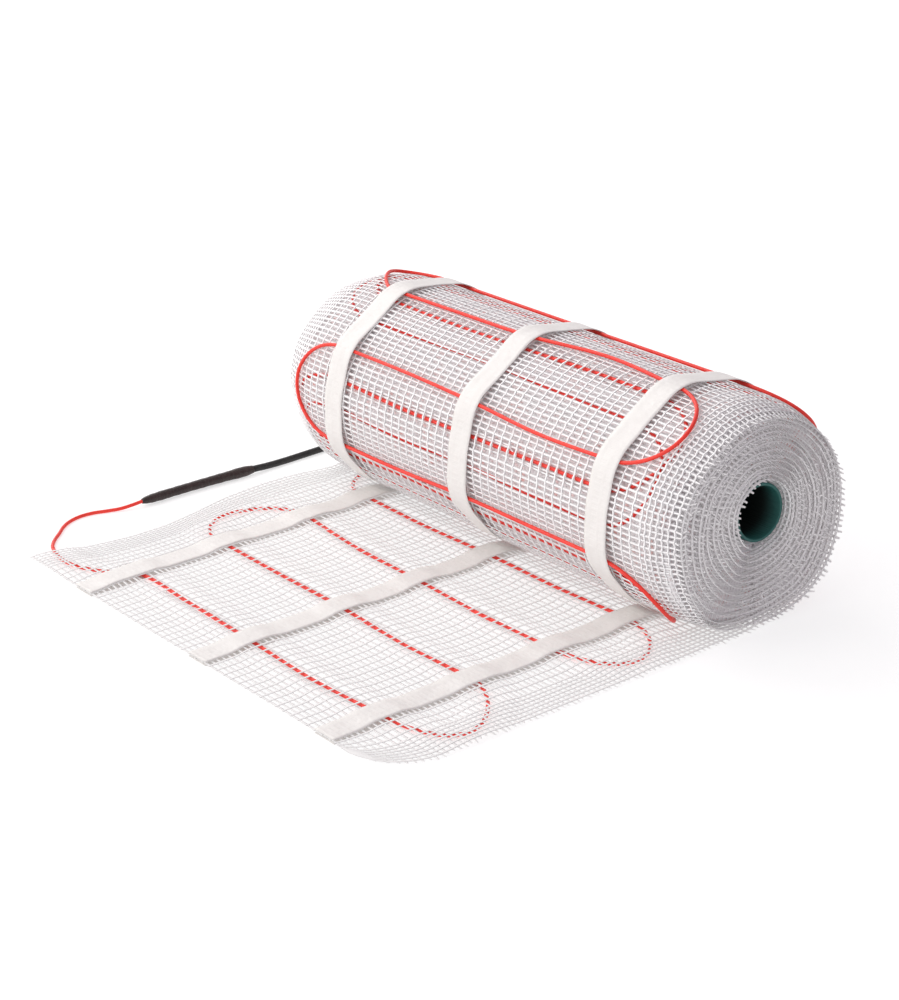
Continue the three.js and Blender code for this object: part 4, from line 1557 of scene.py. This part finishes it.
@dataclass
class SupplyCords:
    """The free cords: the cable's free stretch, the splice, the supply lead and its wires."""

    form: MatForm
    palette: Palette
    lead_diameter: float = 5.8 * MM
    coil_centre: tuple[float, float] = (-170, 150)
    coil_columns: tuple[float, float, float] = (39.6, 33.7, 27.8)
    coil_layers: tuple[float, ...] = (3.0, 8.85, 14.7, 20.5)
    coil_start: float = 209.15
    coil_end: float = 61.0
    coil_outside: float = 45.6
    splice_length: float = 108 * MM
    wire_diameter: float = 2.2 * MM
    wire_length: float = 38 * MM
    free_route: tuple[tuple[float, float, float], ...] = (
        (-252.4, -313.8, 2.2), (-259, -311, 1.9), (-270, -303, 1.6), (-280, -293, 1.6),
        (-289, -284.5, 1.6), (-296, -274.5, 1.6), (-299.5, -263, 1.6), (-298.5, -251, 1.6),
        (-294, -240, 1.6), (-289, -229.5, 2.2), (-285.5, -219, 3.8), (-284.6, -211.3, 4.7),
    )
    lead_route: tuple[tuple[float, float, float], ...] = (
        (-279.5, -102.4, 4.7), (-279.8, -88, 3.6), (-280.2, -70, 3), (-280.6, -43, 3),
        (-281, -12, 3), (-280, 18, 3), (-275, 46, 3), (-262, 70, 3), (-243, 87, 3),
        (-225, 101, 3), (-213.5, 114, 3), (-209.8, 127.8, 3),
    )
    end_route: tuple[tuple[float, float, float], ...] = (
        (-147.9, 189.9, 3), (-132, 190.5, 3), (-116, 191, 3),
        (-100, 190.5, 3), (-84, 189.4, 3), (-72, 189, 3),
    )

    def placed(self, points: Array) -> Array:
        """Route points in millimetres of the drawing, moved into the row frame in metres."""
        return np.asarray(points, float) * MM + np.array([self.form.origin_x, self.form.origin_y, 0])

    def coil_route(self) -> Array:
        """The coil's turns, layer on layer, clockwise from above."""
        columns, layers = self.coil_columns, self.coil_layers
        inward, outward = list(columns), list(reversed(columns))
        turns = [(r, layers[0]) for r in inward] + [(r, layers[1]) for r in outward]
        turns += [(r, layers[2]) for r in inward] + [(columns[-1], layers[3])]
        start, outside = self.coil_start, self.coil_outside
        total = 360 * len(turns) + start - self.coil_end
        made = []
        for swept in np.arange(6, total - 4, 9.0):
            turn = int(swept // 360)
            within = swept - 360 * turn
            shift = float(smooth(np.array(within / 45)))
            rise = float(smooth(np.array((within - 310) / 50)))
            if turn < len(turns):
                r, z = turns[turn]
                before = turns[turn - 1][0] if turn else outside
                after = turns[turn + 1][1] if turn + 1 < len(turns) else z
                r, z = before + (r - before) * shift, z + (after - z) * rise
            else:
                r = columns[-1] + (outside - columns[-1]) * float(smooth(np.array(within / 62)))
                z = layers[3] + (layers[0] - layers[3]) * float(smooth(np.array((within - 55) / 85)))
            angle = (start - swept) * DEGREE
            x, y = self.coil_centre
            made.append((x + r * math.cos(angle), y + r * math.sin(angle), z))
        return np.array(made)

    def splice_axis(self, t: Array) -> Array:
        """Points of the splice's slightly bowed axis, in millimetres, t running from 0 to 1."""
        start, end = np.array(self.free_route[-1]), np.array(self.lead_route[0])
        axis = start + (end - start) * t[:, None]
        axis[:, 0] -= 1.1 * np.sin(np.pi * t)
        return axis

    def build_splice(self) -> bpy.types.Object:
        """The shrink sleeve over the joint, slightly bent and fatter towards the lead."""
        t = np.linspace(0.003, 0.997, 110)
        along = t * self.splice_length / MM
        marks = [0, 1.5, 4, 9, 20, 40, 60, 82, 92, 98, 103, 106, 108]
        girth = [2.0, 2.3, 3.1, 3.75, 3.95, 3.85, 3.95, 4.1, 4.45, 4.5, 4.2, 3.6, 3.15]
        radius = np.interp(along, marks, girth)
        radius += 0.07 * np.sin(along / 1.3) + 0.06 * np.sin(along / 2.9 + 1)
        mesh = tube("splice_sleeve_shrunk", self.placed(self.splice_axis(t)), radius * MM, 28)
        piece = new_object("splice_sleeve_shrunk", mesh, self.palette.sleeve)
        return settle_piece(piece, Slot.SLEEVE, "splice_sleeve")

    def build_free_stretch(self, splice: bpy.types.Object) -> None:
        """The cable's own free stretch, from the mat's edge and on inside the splice."""
        inside = self.splice_axis(np.linspace(0.04, 0.985, 24))
        path = spline(self.placed(np.vstack([np.array(self.free_route), inside])), 2 * MM)
        mesh = tube("cable_free_stretch_cord", path, self.form.cable_diameter / 2, 16)
        piece = new_object("cable_free_stretch_cord", mesh, self.palette.cable)
        settle_piece(piece, Slot.CABLE, "cable_free_stretch")

    def build_wires(self) -> list[bpy.types.Object]:
        """The three stripped wires with their bare tips."""
        x0, y0, z0 = self.end_route[-1]
        made = []
        rows = (
            ("wire_brown", Slot.BROWN, self.palette.brown, -1.4, -0.8, -7.0),
            ("wire_earth", Slot.EARTH, self.palette.earth, 0.0, 1.6, 0.0),
            ("wire_blue", Slot.BLUE, self.palette.blue, 1.4, -0.8, 7.0),
        )
        length, radius = self.wire_length / MM, self.wire_diameter / 2
        for name, slot, finish, side, height, fan in rows:
            t = np.linspace(0, 1, 30)
            ease = t * t * (3 - 2 * t)
            drop = radius / MM + 0.1 - z0 - height
            line = np.column_stack([x0 + 0.3 + length * t, y0 + side + fan * ease, z0 + height + drop * ease])
            path = self.placed(line)
            cut = round(len(path) * 0.8)
            sheath = tube(name + "_sheath", path[:cut], radius, 14)
            bare = tube(name + "_bare", path[cut - 1 :], radius * 0.55, 10)
            sheath.materials.append(finish)
            bare.materials.append(self.palette.copper)
            bare.polygons.foreach_set("material_index", np.ones(len(bare.polygons), np.int32))
            both = joined(name + "_stripped", [sheath, bare])
            both.materials.append(finish)
            both.materials.append(self.palette.copper)
            made.append(settle_piece(new_object(name + "_stripped", both), slot, name))
        return made

    def build_lead(self, wires: list[bpy.types.Object]) -> None:
        """The supply lead: back beside the roll, into its coil, and out to the stripped end."""
        route = np.vstack([np.array(self.lead_route), self.coil_route(), np.array(self.end_route)])
        path = spline(self.placed(route), 3.2 * MM)
        mesh = tube("supply_lead_cord", path, self.lead_diameter / 2, 16)
        piece = new_object("supply_lead_cord", mesh, self.palette.lead)
        settle_piece(piece, Slot.LEAD, "supply_lead", "supply_coil", "supply_lead_end")

    def build(self) -> None:
        """Every cord and the pieces on it."""
        self.build_free_stretch(self.build_splice())
        self.build_lead(self.build_wires())


# Stage


@dataclass(frozen=True)
class Camera:
    """The photograph's viewpoint."""

    place: tuple[float, float, float] = (1.5078, -1.0471, 0.8142)
    yaw: float = -54.5245 * DEGREE
    pitch: float = -22.2861 * DEGREE
    roll: float = -3.548 * DEGREE
    lens: float = 92.49
    sensor: float = 36.0

    def build(self) -> None:
        """Makes the camera and the scene's choice of it."""
        level = math.cos(self.pitch)
        way = Vector((math.sin(self.yaw) * level, math.cos(self.yaw) * level, math.sin(self.pitch)))
        right = way.cross(Vector((0, 0, 1))).normalized()
        up = right.cross(way)
        across = right * math.cos(self.roll) + up * math.sin(self.roll)
        upward = up * math.cos(self.roll) - right * math.sin(self.roll)
        data = bpy.data.cameras.new("camera")
        data.lens, data.sensor_width, data.sensor_fit = self.lens, self.sensor, "AUTO"
        data.clip_start, data.clip_end = 0.05, 30
        camera = bpy.data.objects.new("camera", data)
        turned = Matrix((across, upward, -way)).transposed().to_4x4()
        camera.matrix_world = Matrix.Translation(self.place) @ turned
        bpy.context.scene.collection.objects.link(camera)
        bpy.context.scene.camera = camera


@dataclass(frozen=True)
class SoftLight:
    """A large soft light that looks at the mat."""

    name: str
    place: tuple[float, float, float]
    size: float
    power: float
    colour: tuple[float, float, float] = (1.0, 1.0, 1.0)
    target: tuple[float, float, float] = (0.0, 0.05, 0.06)

    def build(self) -> None:
        """Makes the light."""
        data = bpy.data.lights.new(self.name, "AREA")
        data.shape, data.size, data.energy, data.color = "DISK", self.size, self.power, self.colour
        light = bpy.data.objects.new(self.name, data)
        light.location = self.place
        light.rotation_mode = "QUATERNION"
        aim = Vector(self.target) - Vector(self.place)
        light.rotation_quaternion = aim.to_track_quat("-Z", "Y")
        bpy.context.scene.collection.objects.link(light)


@dataclass(frozen=True)
class Studio:
    """Pale floor, white surroundings and soft lights."""

    floor_size: float = 9.0
    floor_colour: tuple[float, float, float] = (0.5, 0.5, 0.5)
    floor_glow: float = 0.58
    dim: tuple[float, float, float] = (0.32, 0.272, 0.345)
    bright: tuple[float, float, float] = (1.0, 0.985, 0.975)
    bright_side: tuple[float, float, float] = (-0.8, -0.5, 0.33)
    lights: tuple[SoftLight, ...] = (
        SoftLight("key_light", (-2.2, 0.0, 1.7), 2.8, 30.0, (1.0, 0.985, 0.965)),
        SoftLight("front_light", (-0.6, -2.4, 1.5), 2.8, 28.0, (1.0, 0.99, 0.98)),
    )

    def build(self) -> None:
        """Makes the floor, the world and the lights."""
        scene = bpy.context.scene
        scene.view_settings.view_transform = "Standard"
        world = bpy.data.worlds.new("white_surroundings")
        world.use_nodes = True
        sketch = NodeSketch(world.node_tree)
        background = world.node_tree.nodes["Background"]
        way = sketch.node("ShaderNodeTexCoord").outputs["Generated"]
        side = sketch.node("ShaderNodeVectorMath", {0: way, 1: self.bright_side}, operation="DOT_PRODUCT")
        share = sketch.math("MULTIPLY_ADD", side.outputs["Value"], 0.5, 0.5)
        colour = sketch.mix(share, self.dim, self.bright)
        sketch.feed(colour, background.inputs["Color"])
        scene.world = world
        half = self.floor_size / 2
        mesh = bpy.data.meshes.new("floor")
        corners = [(-half, -half, 0), (half, -half, 0), (half, half, 0), (-half, half, 0)]
        mesh.from_pydata(corners, [], [(0, 1, 2, 3)])
        paint = bpy.data.materials.new("pale_floor")
        paint.use_nodes = True
        shader = paint.node_tree.nodes["Principled BSDF"]
        shader.inputs["Base Color"].default_value = (*self.floor_colour, 1)
        shader.inputs["Roughness"].default_value = 0.9
        shader.inputs["Emission Color"].default_value = (1, 1, 1, 1)
        shader.inputs["Emission Strength"].default_value = self.floor_glow
        mesh.materials.append(paint)
        floor = bpy.data.objects.new("floor", mesh)
        scene.collection.objects.link(floor)
        for light in self.lights:
            light.build()


def main() -> None:
    """Builds the stage and the mat."""
    logging.basicConfig(level=logging.INFO, format="%(name)s: %(message)s")
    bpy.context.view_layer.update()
    Camera().build()
    low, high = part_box("core_tube")
    plain = MatForm(0, 0)
    form = MatForm((low[0] + high[0]) / 2, (low[1] + high[1]) / 2 - plain.core_shift)
    palette = Palette(EffectLibrary())
    SupplyCords(form, palette).build()
    course = CableCourse(form)
    height = MeshHeight(form, course.line(4 * MM))
    net = GlassNet(form, course, height, palette, yarn_tree())
    net.build_winding()
    net.build_free_end()
    net.build_outer_turn()
    for side in Side:
        net.build_margins(side)
    CoreTube(form, palette).build()
    Tapes(form, course, height, palette).build()
    cable = HeatingCable(form, course, palette)
    cable.build()
    cable.build_inner()
    Studio().build()


if __name__ == "__main__":
    main()
